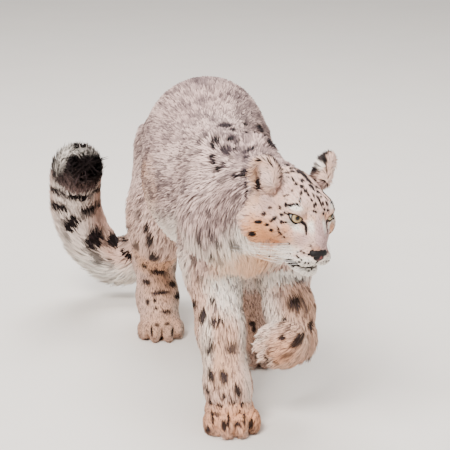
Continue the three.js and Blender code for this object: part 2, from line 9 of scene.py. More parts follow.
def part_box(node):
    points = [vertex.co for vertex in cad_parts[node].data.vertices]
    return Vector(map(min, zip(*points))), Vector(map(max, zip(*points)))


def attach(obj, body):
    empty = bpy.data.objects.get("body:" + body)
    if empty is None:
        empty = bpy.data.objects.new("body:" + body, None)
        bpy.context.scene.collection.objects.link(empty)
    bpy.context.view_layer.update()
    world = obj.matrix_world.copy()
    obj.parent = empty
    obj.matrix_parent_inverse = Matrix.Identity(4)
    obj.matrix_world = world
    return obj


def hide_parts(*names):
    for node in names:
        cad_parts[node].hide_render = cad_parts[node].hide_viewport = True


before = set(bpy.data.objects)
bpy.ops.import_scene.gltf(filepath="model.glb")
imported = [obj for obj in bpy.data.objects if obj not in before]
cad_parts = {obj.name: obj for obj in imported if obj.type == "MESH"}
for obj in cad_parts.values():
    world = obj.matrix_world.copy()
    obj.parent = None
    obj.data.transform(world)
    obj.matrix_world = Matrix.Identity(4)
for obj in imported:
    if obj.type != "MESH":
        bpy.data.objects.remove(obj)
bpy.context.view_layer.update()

# Sizes in millimetres, as in the part's source. The animal faces -Y, its right side is -X.
EYE_RADIUS, EYE_BULGE, LID = 15.5, 1.045, 2.2
SLIT = (15.0, 7.2, 0.34)  # half width, half height, slant
TAIL_SKIN, TAIL_OUT = 33.0, 60.0  # the tail's radius without and with its coat
# How deep the coat is, which is how far each skin lies inside the part's solids
TRUNK_COAT, LONG_COAT, LEG_COAT, THIGH_COAT, PAW_COAT = 11, 7, 6, 5, 3.5
FACE_COAT, CHEEK_COAT, RUFF_COAT, NECK_COAT = 2.4, 4, 5, 12
LIP_GROOVE, CLEFT_GROOVE = 2.1, 1.8
BODY_STEP, HEAD_STEP, NOSE_STEP = 5.0, 1.8, .9  # voxels of the meshed skins
BODY_TUFTS, TAIL_TUFTS, HEAD_TUFTS = 92000, 21000, 52000
TUFT_PATCH = .0015  # half of a tuft's patch on the OFBake map
FLOOR_GAP = 1.2
FAR = 300.0
TRUNK = [((25, 380, 446), (110, 108)), ((4, 260, 460), (133, 128)), ((-22, 140, 434), (133, 126)),
         ((-33, 20, 415), (132, 134)), ((-20, -100, 412), (117, 136)), ((8, -220, 408), (93, 116))]
TRUNK_CAP = 78.0
BLADES = [((-50, -110, 508), (-50, -205, 410)), ((46, -115, 506), (62, -205, 410))]
NECK = [((8, -190, 424), 96), ((32, -292, 452), 84), ((46, -366, 470), 72)]
# Each leg: root and joints as place and radius, then the paw's heel, way ahead, top and size
LEGS = {
    "fore_right": ([((-44, -205, 420), 74), ((-50, -160, 330), 62), ((-46, -150, 275), 54),
                    ((-42, -205, 175), 46), ((-39, -262, 80), 42), ((-38, -290, 40), 40)],
                   (-38, -290, 19), (-.05, -1, 0), (0, 0, 1), 1.06),
    "fore_left": ([((62, -205, 418), 74), ((82, -165, 330), 58), ((88, -160, 280), 52),
                   ((92, -225, 218), 46), ((92, -268, 172), 41), ((76, -276, 156), 38)],
                  (70, -276, 164), (-.86, .26, -.4), (-.25, -.93, .2), .84),
    "hind_right": ([((-46, 300, 410), 98), ((-86, 238, 310), 76), ((-98, 240, 262), 66),
                    ((-94, 335, 196), 52), ((-92, 376, 155), 47), ((-92, 335, 72), 45),
                    ((-92, 300, 40), 42)],
                   (-92, 292, 18), (-.1, -1, 0), (0, 0, 1), .98),
    "hind_left": ([((56, 290, 410), 98), ((68, 185, 325), 76), ((74, 150, 282), 64),
                   ((82, 198, 196), 50), ((84, 212, 148), 45), ((80, 140, 66), 42),
                   ((79, 95, 40), 41)],
                  (78, 86, 18), (.02, -1, 0), (0, 0, 1), .98),
}
TAIL = [(18, 425, 452), (0, 472, 385), (-20, 500, 292), (-48, 526, 192), (-90, 552, 120),
        (-146, 562, 97), (-204, 556, 134), (-242, 534, 208), (-254, 496, 292), (-254, 438, 350),
        (-250, 388, 368)]
HEAD_PLACE = np.array((56.0, -420.0, 472.0))
HEAD_SIZE = 1.04


def turned(angle, axis):
    return np.array(Matrix.Rotation(math.radians(angle), 3, axis))


HEAD_TURN = turned(21, "Z") @ turned(17, "X") @ turned(5.5, "Y")


def unit(v):
    v = np.asarray(v, float)
    return v / np.maximum(np.linalg.norm(v, axis=-1, keepdims=True), 1e-9)


def head_way(left, forward, up):
    return unit(HEAD_TURN @ np.array((left, -forward, up)))


HEAD_AXES = np.stack([head_way(1, 0, 0), head_way(0, 1, 0), head_way(0, 0, 1)])


def on_head(left, forward, up):
    return HEAD_PLACE + HEAD_SIZE * (np.array((left, forward, up)) @ HEAD_AXES)


def in_head(p):
    return (p - HEAD_PLACE) @ HEAD_AXES.T / HEAD_SIZE


def smooth(low, high, x):
    t = np.clip((x - low) / (high - low), 0, 1)
    return t * t * (3 - 2 * t)


# Fields: how far points lie outside a form, less than 0 inside it
def shell(d, half, core):
    """An ellipsoid's field at d from its middle, from its half sizes, and -core right in the middle."""
    near = np.sqrt(((d / half) ** 2).sum(-1))
    slope = np.sqrt(((d / half / half) ** 2).sum(-1))
    return np.where(slope < 1e-7, -core, near * (near - 1) / np.maximum(slope, 1e-7))


def ellipsoid(centre, half):
    centre, half = np.array(centre, float), np.array(half, float)
    return lambda p: shell(p - centre, half, half.min())


def limb(a, b, start, end):
    """A round limb from a to b, whose radius runs from start to end."""
    a = np.array(a, float)
    way = np.array(b, float) - a

    def field(p):
        t = np.clip((p - a) @ way / (way ** 2).sum(), 0, 1)
        return np.linalg.norm(p - a - t[:, None] * way, axis=-1) - (start + (end - start) * t)
    return field


def chain(joints):
    return [limb(a[0], b[0], a[1], b[1]) for a, b in zip(joints, joints[1:])]


def join(width, a, b):
    h = np.maximum(width - np.abs(a - b), 0) / width
    return np.minimum(a, b) - h * h * width / 4


def blend(width, fields):
    """Forms joined by soft corners."""
    def field(p):
        least = fields[0](p)
        for f in fields[1:]:
            least = join(width, least, f(p))
        return least
    return field


def with_ends(points):
    """A row of points with one more in line at each end."""
    return np.vstack([2 * points[0] - points[1], points, 2 * points[-1] - points[-2]])


def cubic(a, b, m, n, w):
    """Points of the curve from a to b whose slopes there are m and n."""
    return (2 * a - 2 * b + m + n) * w ** 3 + (3 * b - 3 * a - 2 * m - n) * w ** 2 + m * w + a


def lofted(stations, cap):
    """A trunk through oval stations, with ends as round as the cap."""
    middles, halves = (np.array([s[k] for s in stations], float) for k in (0, 1))
    start, end = middles[0, 1], middles[-1, 1]

    def run(points, t):
        at = t * (len(points) - 1)
        i = np.minimum(at.astype(int), len(points) - 2)
        a, b, c, d = (with_ends(points)[i + k] for k in range(4))
        return cubic(b, c, (c - a) / 2, (d - b) / 2, (at - i)[:, None])

    def field(p):
        t = np.clip((p[:, 1] - start) / (end - start), 0, 1)
        m, h = run(middles, t), run(halves, t)
        beyond = p[:, 1] - (start + (end - start) * t)
        d = np.stack([p[:, 0] - m[:, 0], beyond, p[:, 2] - m[:, 2]], 1)
        return shell(d, np.stack([h[:, 0], np.full(len(p), cap), h[:, 1]], 1), cap)
    return field


def tail_line(count=400):
    """Points of the tail's middle at even steps, and the ways along it."""
    ends = with_ends(np.array(TAIL, float))
    w = np.linspace(0, 1, 60, endpoint=False)[:, None]
    out = []
    for i in range(len(TAIL) - 1):
        p = ends[i:i + 4]
        d = np.maximum(np.linalg.norm(np.diff(p, axis=0), axis=1) ** .5, 1e-4)
        m, n = (((p[k] - p[k - 1]) / d[k - 1] - (p[k + 1] - p[k - 1]) / (d[k - 1] + d[k])
                 + (p[k + 1] - p[k]) / d[k]) * d[1] for k in (1, 2))
        out.append(cubic(p[1], p[2], m, n, w))
    line = np.vstack(out + [ends[-2:-1]])
    run = np.concatenate([[0], np.cumsum(np.linalg.norm(np.diff(line, axis=0), axis=1))])
    even = np.linspace(0, run[-1], count)
    spots = np.stack([np.interp(even, run, line[:, k]) for k in range(3)], 1)
    return spots, unit(np.gradient(spots, axis=0))


TAIL_SPOTS, TAIL_WAYS = tail_line()
TAIL_T = np.linspace(0, 1, len(TAIL_SPOTS))
TAIL_SCALE = .78 + .22 * np.minimum(1, 4 * TAIL_T)


def tail_nearest(p):
    """The index of the tail's nearest spot to each point."""
    best = np.zeros(len(p), int)
    for start in range(0, len(p), 20000):
        part = p[start:start + 20000]
        d = (part ** 2).sum(1)[:, None] - 2 * part @ TAIL_SPOTS.T + (TAIL_SPOTS ** 2).sum(1)
        best[start:start + 20000] = d.argmin(1)
    return best


def tail_field(p):
    d = np.full(len(p), FAR)
    near = (p[:, 0] < 100) & (p[:, 1] > 300)
    i = tail_nearest(p[near])
    end = 1 - .55 * smooth(.9, 1, TAIL_T[i])
    d[near] = np.linalg.norm(p[near] - TAIL_SPOTS[i], axis=1) - TAIL_SKIN * TAIL_SCALE[i] * end
    return d


TOES = [(-37, 22), (-14, 42), (14, 42), (37, 22)]
PAW_SHAPE = blend(9, [ellipsoid((0, -14, 22), (46, 50, 34)), ellipsoid((0, 12, 14), (48, 40, 26))]
                  + [ellipsoid((x, y, 12), (16, 27, 24)) for x, y in TOES])


def paw_axes(leg):
    forward, top = unit(leg[2]), np.array(leg[3], float)
    up = unit(top - forward * (top @ forward))
    return np.stack([np.cross(forward, up), forward, up])


def in_paw(leg, p):
    return (p - np.array(leg[1])) @ paw_axes(leg).T / leg[4] + np.array((0, 0, 12))


def paw_field(leg):
    return lambda p: PAW_SHAPE(in_paw(leg, p)) * leg[4]


def pair(centre, half):
    x, y, z = centre
    return [ellipsoid((x, y, z), half), ellipsoid((-x, y, z), half)]


SKULL = blend(18, [ellipsoid((0, -14, 8), (67, 74, 60)), ellipsoid((0, 32, 24), (47, 36, 32)),
                   ellipsoid((0, 44, -12), (45, 50, 40))] + pair((48, 18, -8), (26, 40, 28))
              + pair((57, -16, -30), (29, 36, 36)) + pair((28, 45, 38), (17, 16, 8)))
MUZZLE = blend(9, [limb((0, 50, 17), (0, 90, -16), 21, 15.5), ellipsoid((0, 74, -35), (31, 36, 24))]
               + pair((18, 84, -43), (20, 23, 16))
               + [ellipsoid((0, 68, -69), (24, 34, 16)), ellipsoid((0, 28, -54), (38, 52, 27))])
HEAD_LOCAL = blend(12, [SKULL, MUZZLE])


def head_field(p):
    return HEAD_LOCAL(in_head(p)) * HEAD_SIZE


LEG_FIELDS = {name: blend(24, chain(leg[0])) for name, leg in LEGS.items()}
PAW_FIELDS = {name: paw_field(leg) for name, leg in LEGS.items()}
TRUNK_FIELD = blend(40, [lofted(TRUNK, TRUNK_CAP)]
                    + [limb(leg[0][0][0], leg[0][1][0], leg[0][0][1], leg[0][1][1] - 8)
                       for leg in LEGS.values()]
                    + [limb(a, b, 42, 66) for a, b in BLADES] + chain(NECK))


def trunk_depth(p):
    """How deep the trunk's coat is: more on the belly, chest and throat."""
    return TRUNK_COAT + LONG_COAT * smooth(40, -110, p[:, 2] - 420) * smooth(330, 240, p[:, 1])


def head_depth(p):
    h = in_head(p)
    ruff = smooth(20, -25, h[:, 1]) * smooth(40, -20, h[:, 2])
    return FACE_COAT + CHEEK_COAT * smooth(30, -40, h[:, 1]) + RUFF_COAT * ruff


def head_under(p):
    """The head without its coat, eyes and ears."""
    return head_field(p) + head_depth(p)


def body_skin(p):
    least = join(30, TRUNK_FIELD(p) + trunk_depth(p), head_under(p) + 5)
    low = p[:, 2] < 470
    q = p[low]
    for name in LEGS:
        d = np.full(len(p), FAR)
        leg = LEG_FIELDS[name](q) + LEG_COAT + THIGH_COAT * smooth(250, 380, q[:, 2])
        d[low] = join(12, leg, PAW_FIELDS[name](q) + PAW_COAT)
        least = join(26, least, d)
    return np.maximum(join(24, least, tail_field(p)), FLOOR_GAP - p[:, 2])


def surface_from(field, start, ways, reach=320.0, step=4.0):
    """Points where rays from inside a form leave it."""
    low = np.zeros(len(ways))
    live = np.ones(len(ways), bool)
    for far in np.arange(step, reach, step):
        live &= field(start + ways * far) < 0
        low = np.where(live, far, low)
    high = low + step
    for _ in range(12):
        mid = (low + high) / 2
        inside = field(start + ways * mid[:, None]) < 0
        low, high = np.where(inside, mid, low), np.where(inside, high, mid)
    return start + ways * low[:, None]


EYES = {side: (on_head(32 * side, 51, 22.5), head_way(.42 * side, .9, -.04)) for side in (-1, 1)}
GAZE = (.36, .93, .2)  # the way the eyes look: out, ahead and up
NOSE, NOSE_HALF = on_head(0, 100, -30), (18, 13, 12.5)
EARS = {-1: ((-60, -20, 52), (-.26, -.14, 1), (-.8, .55, .1)),
        1: ((60, -20, 52), (.26, -.14, 1), (.55, .82, .1))}
EAR_HALF, EAR_WALL = (27.0, 17.0, 35.0), 4.5


def ear_axes(side):
    foot, top, facing = EARS[side]
    up = head_way(*top)
    front = head_way(*facing)
    front = unit(front - up * (front @ up))
    return on_head(*foot) + up * EAR_HALF[2] * .42, np.stack([-np.cross(up, front), front, up])


def in_ear(side, p):
    middle, axes = ear_axes(side)
    return (p - middle) @ axes.T


def ear_field(side, p):
    q = in_ear(side, p)
    w, d, h = EAR_HALF
    outer = ellipsoid((0, 0, 0), (w - 1, d - 1, h - 1))(q)
    inner = ellipsoid((0, d * .62, 0), (w - EAR_WALL, d, h - EAR_WALL))(q)
    # the front edge of the ear folds over the opening as a soft lobe
    lobe = limb((8 * side, 4, 22), (16 * side, 12, -12), 6, 9)(q)
    return join(5, np.maximum(outer, -inner), lobe)


def slit(side, p):
    """Outside of the opening between the lids, as two arcs that meet at the corners."""
    centre, way = EYES[side]
    half, high, slant = SLIT
    across = HEAD_AXES[0] * side + HEAD_AXES[2] * slant
    across = unit(across - way * (across @ way))
    upright = unit(np.cross(across, way) * -side)
    q = p - centre
    u, v = q @ across, q @ upright
    arc = (half ** 2 + high ** 2) / (2 * high)
    out = np.maximum(np.hypot(u, v + (arc - high)), np.hypot(u, v - (arc - high))) - arc
    return np.where(q @ way > 0, out, 50.0)


def mouth_line():
    """The line between the lips, on the bare head, and the groove below the nose."""
    turns = np.radians(np.linspace(-76, 76, 61))
    rise = -.06 + .1 * np.abs(np.sin(turns)) ** 3
    ways = np.stack([head_way(math.sin(a), math.cos(a), r) for a, r in zip(turns, rise)])
    lips = surface_from(head_under, on_head(0, 54, -50), ways)
    cleft = np.stack([head_way(0, 1, r) for r in np.linspace(.12, -.2, 9)])
    return lips, surface_from(head_under, on_head(0, 54, -41), cleft)


LIPS, CLEFT = mouth_line()


def near_points(p, points):
    return np.sqrt(((p[:, None] - points[None]) ** 2).sum(-1)).min(1)


def head_skin(p):
    h = in_head(p)
    least = join(30, head_under(p), np.minimum.reduce([f(p) for f in chain(NECK)]) + NECK_COAT)
    for side in (-1, 1):
        centre, way = EYES[side]
        close = np.linalg.norm(p - centre, axis=1) < 34
        q, d = p[close], least[close]
        # a hollow round the eye, then the lids, which stand proud of it
        d = np.maximum(d, -(np.linalg.norm(q - centre - way * 24, axis=1) - 13.5)) * .5 + d * .5
        d = join(5, d, np.linalg.norm(q - centre, axis=1) - EYE_RADIUS - LID)
        least[close] = np.maximum(d, -slit(side, q))
        near = np.linalg.norm(p - ear_axes(side)[0], axis=1) < 60
        least[near] = join(9, least[near], ear_field(side, p[near]))
    front = (h[:, 1] > 25) & (h[:, 2] < 0) & (np.abs(least) < 12)
    for line, half in ((LIPS, LIP_GROOVE), (CLEFT, CLEFT_GROOVE)):
        least[front] = np.maximum(least[front], half - near_points(p[front], line))
    # the skin ends where the neck's coat covers it
    return np.maximum(least, -78 - h[:, 1])


def nose_skin(p):
    q = (p - NOSE) @ HEAD_AXES.T
    q[:, 0] /= 1 + .3 * q[:, 2] / NOSE_HALF[2]
    least = ellipsoid((0, 0, 0), NOSE_HALF)(q)
    for side in (-1, 1):
        least = -join(2.5, -least, limb((8 * side, 14, 1), (15 * side, 6, -3), 3.6, 2)(q))
    return -join(3, -least, limb((0, 16, 10), (0, 12, -14), 1.5, 1.5)(q))


def meshed(field, low, high, step):
    """Vertices, in mm, and four-cornered faces of a field's surface."""
    low = np.array(low, float)
    size = np.ceil((np.array(high) - low) / step).astype(int) + 1
    axes = [low[k] + step * np.arange(size[k]) for k in range(3)]
    values = np.empty(tuple(size), np.float32)
    for i, x in enumerate(axes[0]):
        y, z = np.meshgrid(axes[1], axes[2], indexing="ij")
        p = np.stack([np.full(y.size, x), y.ravel(), z.ravel()], 1)
        values[i] = field(p).reshape(y.shape)
    grid = openvdb.FloatGrid(background=float(5 * step))
    grid.copyFromArray(np.clip(values, -5 * step, 5 * step))
    points, quads = grid.convertToQuads(isovalue=0.0)
    return np.array(points, float) * step + low, np.array(quads, int)


# From the part's source to the row frame: the same eye lies in both
SHIFT = np.sum(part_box("eye_right"), 0) * 500 - EYES[-1][0]
# The photograph's camera: angles, distance, focal length in pixels, and what it looks at
AZIMUTH, ELEVATION, DISTANCE, FOCAL = math.radians(-10), math.radians(16), 4500.0, 2130.0
TARGET = np.array((20.0, 100.0, 300.0))
FRAME = 450  # pixels
# BACK runs from the object to the camera
BACK = np.array((math.sin(AZIMUTH) * math.cos(ELEVATION), -math.cos(AZIMUTH) * math.cos(ELEVATION),
                 math.sin(ELEVATION)))
RIGHT = np.array((math.cos(AZIMUTH), math.sin(AZIMUTH), 0.0))
UPWARD = np.cross(BACK, RIGHT)
EYE_POINT = TARGET + BACK * DISTANCE


def metres(p):
    return (np.asarray(p, float) + SHIFT) / 1000


def linear(*rgb):
    c = np.array(rgb, float) / 255
    return np.where(c < .04045, c / 12.92, ((c + .055) / 1.055) ** 2.4)


rng = np.random.default_rng(7)
TABLE = rng.random(4096)


def lattice(i, seed):
    h = (i[:, 0] * 73856093) ^ (i[:, 1] * 19349663) ^ (i[:, 2] * 83492791) ^ (seed * 2654435)
    return (h ^ (h >> 13)) & 4095


def noise(p, scale, seed=0):
    """Smooth noise from 0 to 1 with bumps of the given size."""
    q = p / scale + 1000.0
    i = np.floor(q).astype(np.int64)
    f = q - i
    f = f * f * (3 - 2 * f)
    out = np.zeros(len(p))
    for corner in np.ndindex(2, 2, 2):
        c = np.array(corner)
        w = np.prod(np.where(c, f, 1 - f), axis=1)
        out += w * TABLE[lattice(i + c, seed)]
    return out


def drift(p, scale, seed):
    """Noise in three directions, from -.5 to .5."""
    return np.stack([noise(p, scale, seed + k) for k in range(3)], 1) - .5


def cells(p, scale, seed=0):
    """Distance to the nearest of scattered points, that point, and a number for it."""
    q = p / scale + 1000.0
    i = np.floor(q).astype(np.int64)
    best, spot, number = np.full(len(p), 9.0), np.zeros_like(q), np.zeros(len(p))
    for corner in np.ndindex(3, 3, 3):
        c = i + np.array(corner) - 1
        place = c + np.stack([TABLE[lattice(c, seed + k)] for k in (11, 12, 13)], 1)
        d = np.linalg.norm(q - place, axis=1)
        nearer = d < best
        best, number = np.where(nearer, (d, TABLE[lattice(c, seed + 14)]), (best, number))
        spot = np.where(nearer[:, None], place, spot)
    return best * scale, (spot - 1000.0) * scale, number


COLOURS = {name: linear(*rgb) for name, rgb in {
    "cream": (236, 206, 196), "grey": (172, 142, 136), "white": (255, 244, 232), "buff": (230, 178, 138),
    "dark": (20, 13, 13), "brown": (112, 78, 62), "slate": (92, 76, 80), "orange": (222, 148, 92),
    "mauve": (200, 166, 162)}.items()}
CREAM, GREY, WHITE, BUFF, DARK, BROWN, SLATE = list(COLOURS.values())[:7]


def table(text):
    """Rows of numbers and names of colours, with commas between the rows."""
    return [[v if v.isalpha() else float(v) for v in row.split()] for row in text.split(",")]


def in_frame(rows, scale, left, top):
    """Marks that were read on an enlarged crop, as places and sizes in pixels of the frame."""
    return [[round(v, 1) for v in (left + x / scale, top + y / scale, a / scale, b / scale)] + rest
            for x, y, a, b, *rest in rows]


# Marks placed on the side that the photograph shows: x, y, half length, half width, turn in degrees
# and, where it isn't solid, its strength. Those of the head and body were read on enlarged crops of
# the photograph and stay as they were read, with the enlargement and the crop's left and top edge here.
HEAD_CROP, BODY_CROP = (10.81, 235, 145), (6.272, 180, 50)
HEAD_MARKS = in_frame(table("""
530 195 35 10 -15, 550 235 32 12 0, 487 277 45 9 3, 635 238 28 9 -10, 610 272 25 10 0, 575 315 32 9 -5,
625 300 25 9 10, 580 362 12 10 0, 628 382 20 9 70, 663 432 16 14 0, 622 500 16 9 -20, 575 545 14 7 -20,
538 556 16 7 -30, 728 395 24 13 20, 728 460 22 16 20, 765 505 22 15 40, 718 530 26 11 -75,
705 600 30 8 -80, 793 545 20 9 60, 828 602 20 8 65, 690 310 30 16 40, 740 335 44 14 45,
790 385 45 12 48, 835 465 40 9 55, 720 270 35 14 20, 780 300 35 10 30, 835 295 30 10 25,
870 390 30 12 40, 880 465 16 12 10, 895 515 14 12 10, 930 570 12 10 30, 950 490 25 10 50,
850 550 22 8 65, 890 575 25 5 65, 855 665 24 9 85, 850 720 12 8 80, 872 725 14 8 80, 875 645 20 8 75,
950 640 22 8 80, 990 635 24 10 65, 962 700 16 8 70, 1005 710 16 9 60, 950 745 14 8 80, 1060 640 40 8 75,
1050 555 30 9 60, 1000 500 30 9 50, 965 400 35 9 40, 1030 480 30 7 50, 1110 690 20 6 80,
920 620 60 5 72, 815 250 40 14 28, 750 205 40 12 20, 700 215 25 10 10, 555 650 20 12 100,
600 655 35 9 -8, 650 645 35 9 0, 690 655 16 9 40, 487 684 18 13 -60, 385 690 22 12 -10,
320 752 26 14 -25, 505 756 18 12 -10, 262 832 40 14 0, 425 805 48 14 -35, 355 866 22 11 0,
400 920 20 12 10, 103 862 18 9 -10, 195 958 32 22 20, 240 1105 38 18 8, 345 1182 22 9 5,
505 835 16 14 0, 545 838 24 7 -15, 470 905 20 8 50, 490 950 30 8 40, 535 990 16 7 40, 592 1064 12 8 30,
400 1000 14 8 0, 540 735 10 14 0, 772 915 50 10 90, 820 1087 10 10 0, 718 1150 12 8 30,
750 1170 12 7 20, 795 1185 16 9 30, 680 1160 10 6 60, 690 1215 14 8 30, 722 1240 12 7 30,
672 1195 10 6 50, 700 1262 12 6 20, 760 1272 12 6 10, 797 1275 8 6 0, 590 1243 24 9 15,
620 1262 30 10 15, 610 1290 25 8 25, 640 1305 20 10 10, 665 1270 22 9 20, 700 1295 20 8 20,
735 1310 12 8 10, 765 1322 9 8 0, 800 1362 9 7 0, 825 1345 10 8 0"""), *HEAD_CROP)
# The dark line from the eye's inner corner down beside the nose, and the end of the mouth
FACE_LINES = table("""
303.6 223.4 3.4 2 45, 306 227.5 3 1.2 70, 306.4 232 4 1 90, 288 214.4 2.4 1 30, 306.2 216 4 .8 80 .5,
291 261.4 5 1.5 25, 297 264.8 6 1.3 18, 308 267.4 7 1.1 5""")
BODY_MARKS = in_frame(table("""
275 485 45 16 -20, 320 515 30 12 -40, 400 475 16 10 10, 405 535 18 12 20, 487 495 32 17 25,
465 530 30 6 25, 530 555 32 14 35, 580 580 40 12 45, 220 570 26 20 -20, 205 612 14 14 0,
320 567 28 14 -10, 357 590 22 8 -50, 290 632 28 22 10, 300 650 12 18 0, 342 632 18 9 -60,
430 635 45 8 -30, 418 688 20 12 -55, 205 680 18 16 0, 212 710 16 12 80, 275 725 18 12 -40,
240 752 18 12 -20, 355 790 18 13 -40, 280 820 26 20 -10 .6, 160 550 22 9 -60 .7, 128 580 18 9 -50 .7,
75 575 16 9 -60 .7, 120 650 16 10 -40 .6, 320 690 16 7 -70 .7, 410 775 18 24 0, 552 675 24 8 10,
372 912 12 8 0 .7, 350 930 14 7 -60 .7, 185 1020 18 12 60 .7, 180 1080 12 8 0 .7, 125 1160 40 12 80 .8,
195 1150 22 12 80 .8, 245 1200 18 16 0 .8, 345 1205 40 18 35 .75, 195 1270 16 14 40 .9,
255 1310 26 22 0 .55, 95 1300 30 12 80 .8, 345 1390 22 22 0 .45, 125 1420 20 10 0 .7"""), *BODY_CROP)
# The ears' dark rims, then painted shade: the marks from 257.6 184 to 254 175 darken the hollow and folds
# of the right ear, and 322 158 the hollow of the left
EAR_MARKS = table("""
247.6 194 6 1.2 88, 247.2 184 5 1.3 92, 248.8 173 6 1.2 104, 252.6 164.6 5 1.2 130, 259 160 5 1.2 158,
266 160 4.4 1.1 195, 271 165 4 1.2 55, 257.6 184 3 7.5 0, 254 191 2 5 15 .7, 262 188 5 1.2 30 .8,
267 187 5 1 5 .6, 261 173 1.6 7 10 .45, 254 175 2.6 6 12 .35, 322 158 3.6 5 -20 .9, 310.5 163 1.6 4 0 .7,
325.5 166 1.2 9 -8 .9, 318 155.5 5 1.4 15 .8""")
LEG_MARKS = table("""
202.8 316.5 4 5.5 0, 217.5 320.7 8.5 2.8 -5, 210.5 348 4.5 5.8 0, 230.8 346.6 6.2 6.2 0 .85,
212.2 375.4 6 3 65, 223.8 375.4 4.4 5.6 0, 236.5 388.7 3.4 5.4 0, 208.4 387.3 4.6 2.6 60,
223.1 394.4 4 3 0, 232.3 400.4 5.4 2.8 -10, 212.6 402 2.4 3.4 0, 220.3 404.9 3.6 1.8 -10,
241 402.8 2.4 2.4 0, 212.6 301 2.6 2.6 0, 252 324 4 3 30, 254 330 2 3 0, 294 301 7.4 7.2 0,
284.9 320.7 2.4 4 0, 310 325 6 3 105, 283.5 336.8 3.8 3.4 0, 297.5 340.3 8 4.6 -50,
288.4 353.7 6 2.6 -20 .7, 271.5 350.9 4 1.3 80 .8, 298 281.4 5 2.4 0 .7, 275.7 295.4 5 3.6 0 .5,
304 308 3 3 0 .7, 150 240 4 7 0, 147 228 3 4 0, 155 255 6 5 20, 158 272 9 3 15, 146.7 282 4.5 3 30,
160.7 292.6 9 2.2 -4, 148 301.7 2 3 0, 155 300.3 2 2 0, 166 311.6 5 2 0, 155.8 308.8 2.2 1.8 0,
176 296.8 3 2 20, 172 284 4 3 30, 145 265 3 3 0, 175 268 3 2.6 0 .7, 182 294 4 5 60, 186 305 3 5 0,
140 213 3 7 10 .6""")
# Painted shade in the gaps between the toes, as thin strokes, and the dark spots on the toes
PAW_MARKS = table("""
212.4 417 7 1.1 84, 228.4 420 9 1.2 88, 244 419 7 1.1 96, 224.6 424.5 3 4.2 0, 237.2 424.5 3.6 4 0,
250.5 424 3.6 4.6 0, 208.4 428.7 3 3 0, 217 414 5 2 0 .8, 238 412 5 1.8 0 .8, 259 352 5 1.2 70,
266 357 5 1.2 60, 277 360 5 1 30, 262 341 3 1.4 60 .6, 152 331 5 1 85, 162 333 5 1 90, 172 332 5 1 95,
157 325 2.4 1.6 0 .8, 167 324 2.4 1.6 0 .8""")
TAIL_MARKS = table("""
63 192 10 3.8 12, 78 196 11 3.8 -4, 95 192 9 3.8 -28, 64 208 10 4.8 10, 88 209 10 3.6 -20,
74 223 10 5.6 120, 86 216 8 3 -30 .8, 94 240 12 8 105, 114 240 11 7 150, 100 257 9 4.4 60 .8,
130 254 8 4 20, 128 240 6 3.6 0, 112 263 7 3.6 60 .6, 70 237 7 3.6 60 .7, 59 222 6 3.6 70 .6,
118 228 6 3.4 150 .7, 137 245 3.6 5 0 .8""")
# Broad soft patches of colour: the same, then strength, colour and, where it isn't 2, reach in depth
# The buff patch at 253 174 is painted shade in the hollow of the right ear
PATCHES = table("""
250 262 26 15 -20 .8 buff, 264 239 23 19 0 .85 orange, 258 222 13 9 0 .4 orange, 255 205 8 10 0 .35 buff,
232 288 26 17 20 1 white 3, 285 277 24 9 -8 1 white 2.5, 300 271 20 6 -10 1 white,
306 262 13 5 10 .9 white, 288 250 12 6 0 .75 white, 296 208 6.5 3.4 10 1 white, 295 226 9 3.6 40 .9 white,
303 240 7 6 0 .6 mauve, 287 228 5 4 0 .5 orange, 323 238 8 17 -8 .95 mauve 2.5, 311 226 3 9 -8 .8 white,
331 246 3 10 0 .6 mauve, 333 222 4 4 0 .8 white, 308 218 6 4 0 .4 orange, 313 196 16 14 50 .35 cream,
270 205 10 8 0 .5 grey, 283 190 12 8 0 .35 grey, 320 268 7 3 -30 1 white, 316 252 5 5 0 .4 orange,
262 258 8 8 0 .3 orange, 220 262 12 16 0 .45 buff, 250 282 14 10 0 .5 white 3, 163 260 16 16 0 .5 buff,
163 290 18 22 0 .4 buff, 185 262 8 20 0 .5 white, 230 420 34 16 0 .42 orange 2.5,
278 350 24 16 0 .5 orange, 296 320 16 26 0 .35 buff, 225 350 18 40 0 .25 buff, 165 315 20 8 0 .25 buff,
100 275 24 8 20 .9 white, 145 266 10 6 0 .5 buff, 203 78 34 7 0 .5 slate, 240 100 20 7 45 .4 slate,
265 128 14 4 50 .5 slate, 160 140 12 40 20 .35 grey, 150 190 9 34 -5 .3 buff, 203 240 8 34 0 .35 grey,
80 212 24 34 0 .4 grey 2.5, 305 186 22 15 50 .35 grey, 162 328 22 10 0 .4 buff, 250 356 8 8 0 .3 brown,
58 152 5 12 25 .75 white 2.5, 80 142 16 3.5 5 .7 white 2.5, 101 156 3 9 -15 .5 grey 2.5,
315.4 161 5.5 6 0 1 white, 331 172 5 5 0 .9 white, 266 175 5 10 -25 .8 cream, 253 174 4 9 12 .5 buff,
207 345 7 34 0 .5 white, 232 300 20 18 0 .6 white""")


def mix(a, b, w):
    return a * (1 - w[:, None]) + b * w[:, None]


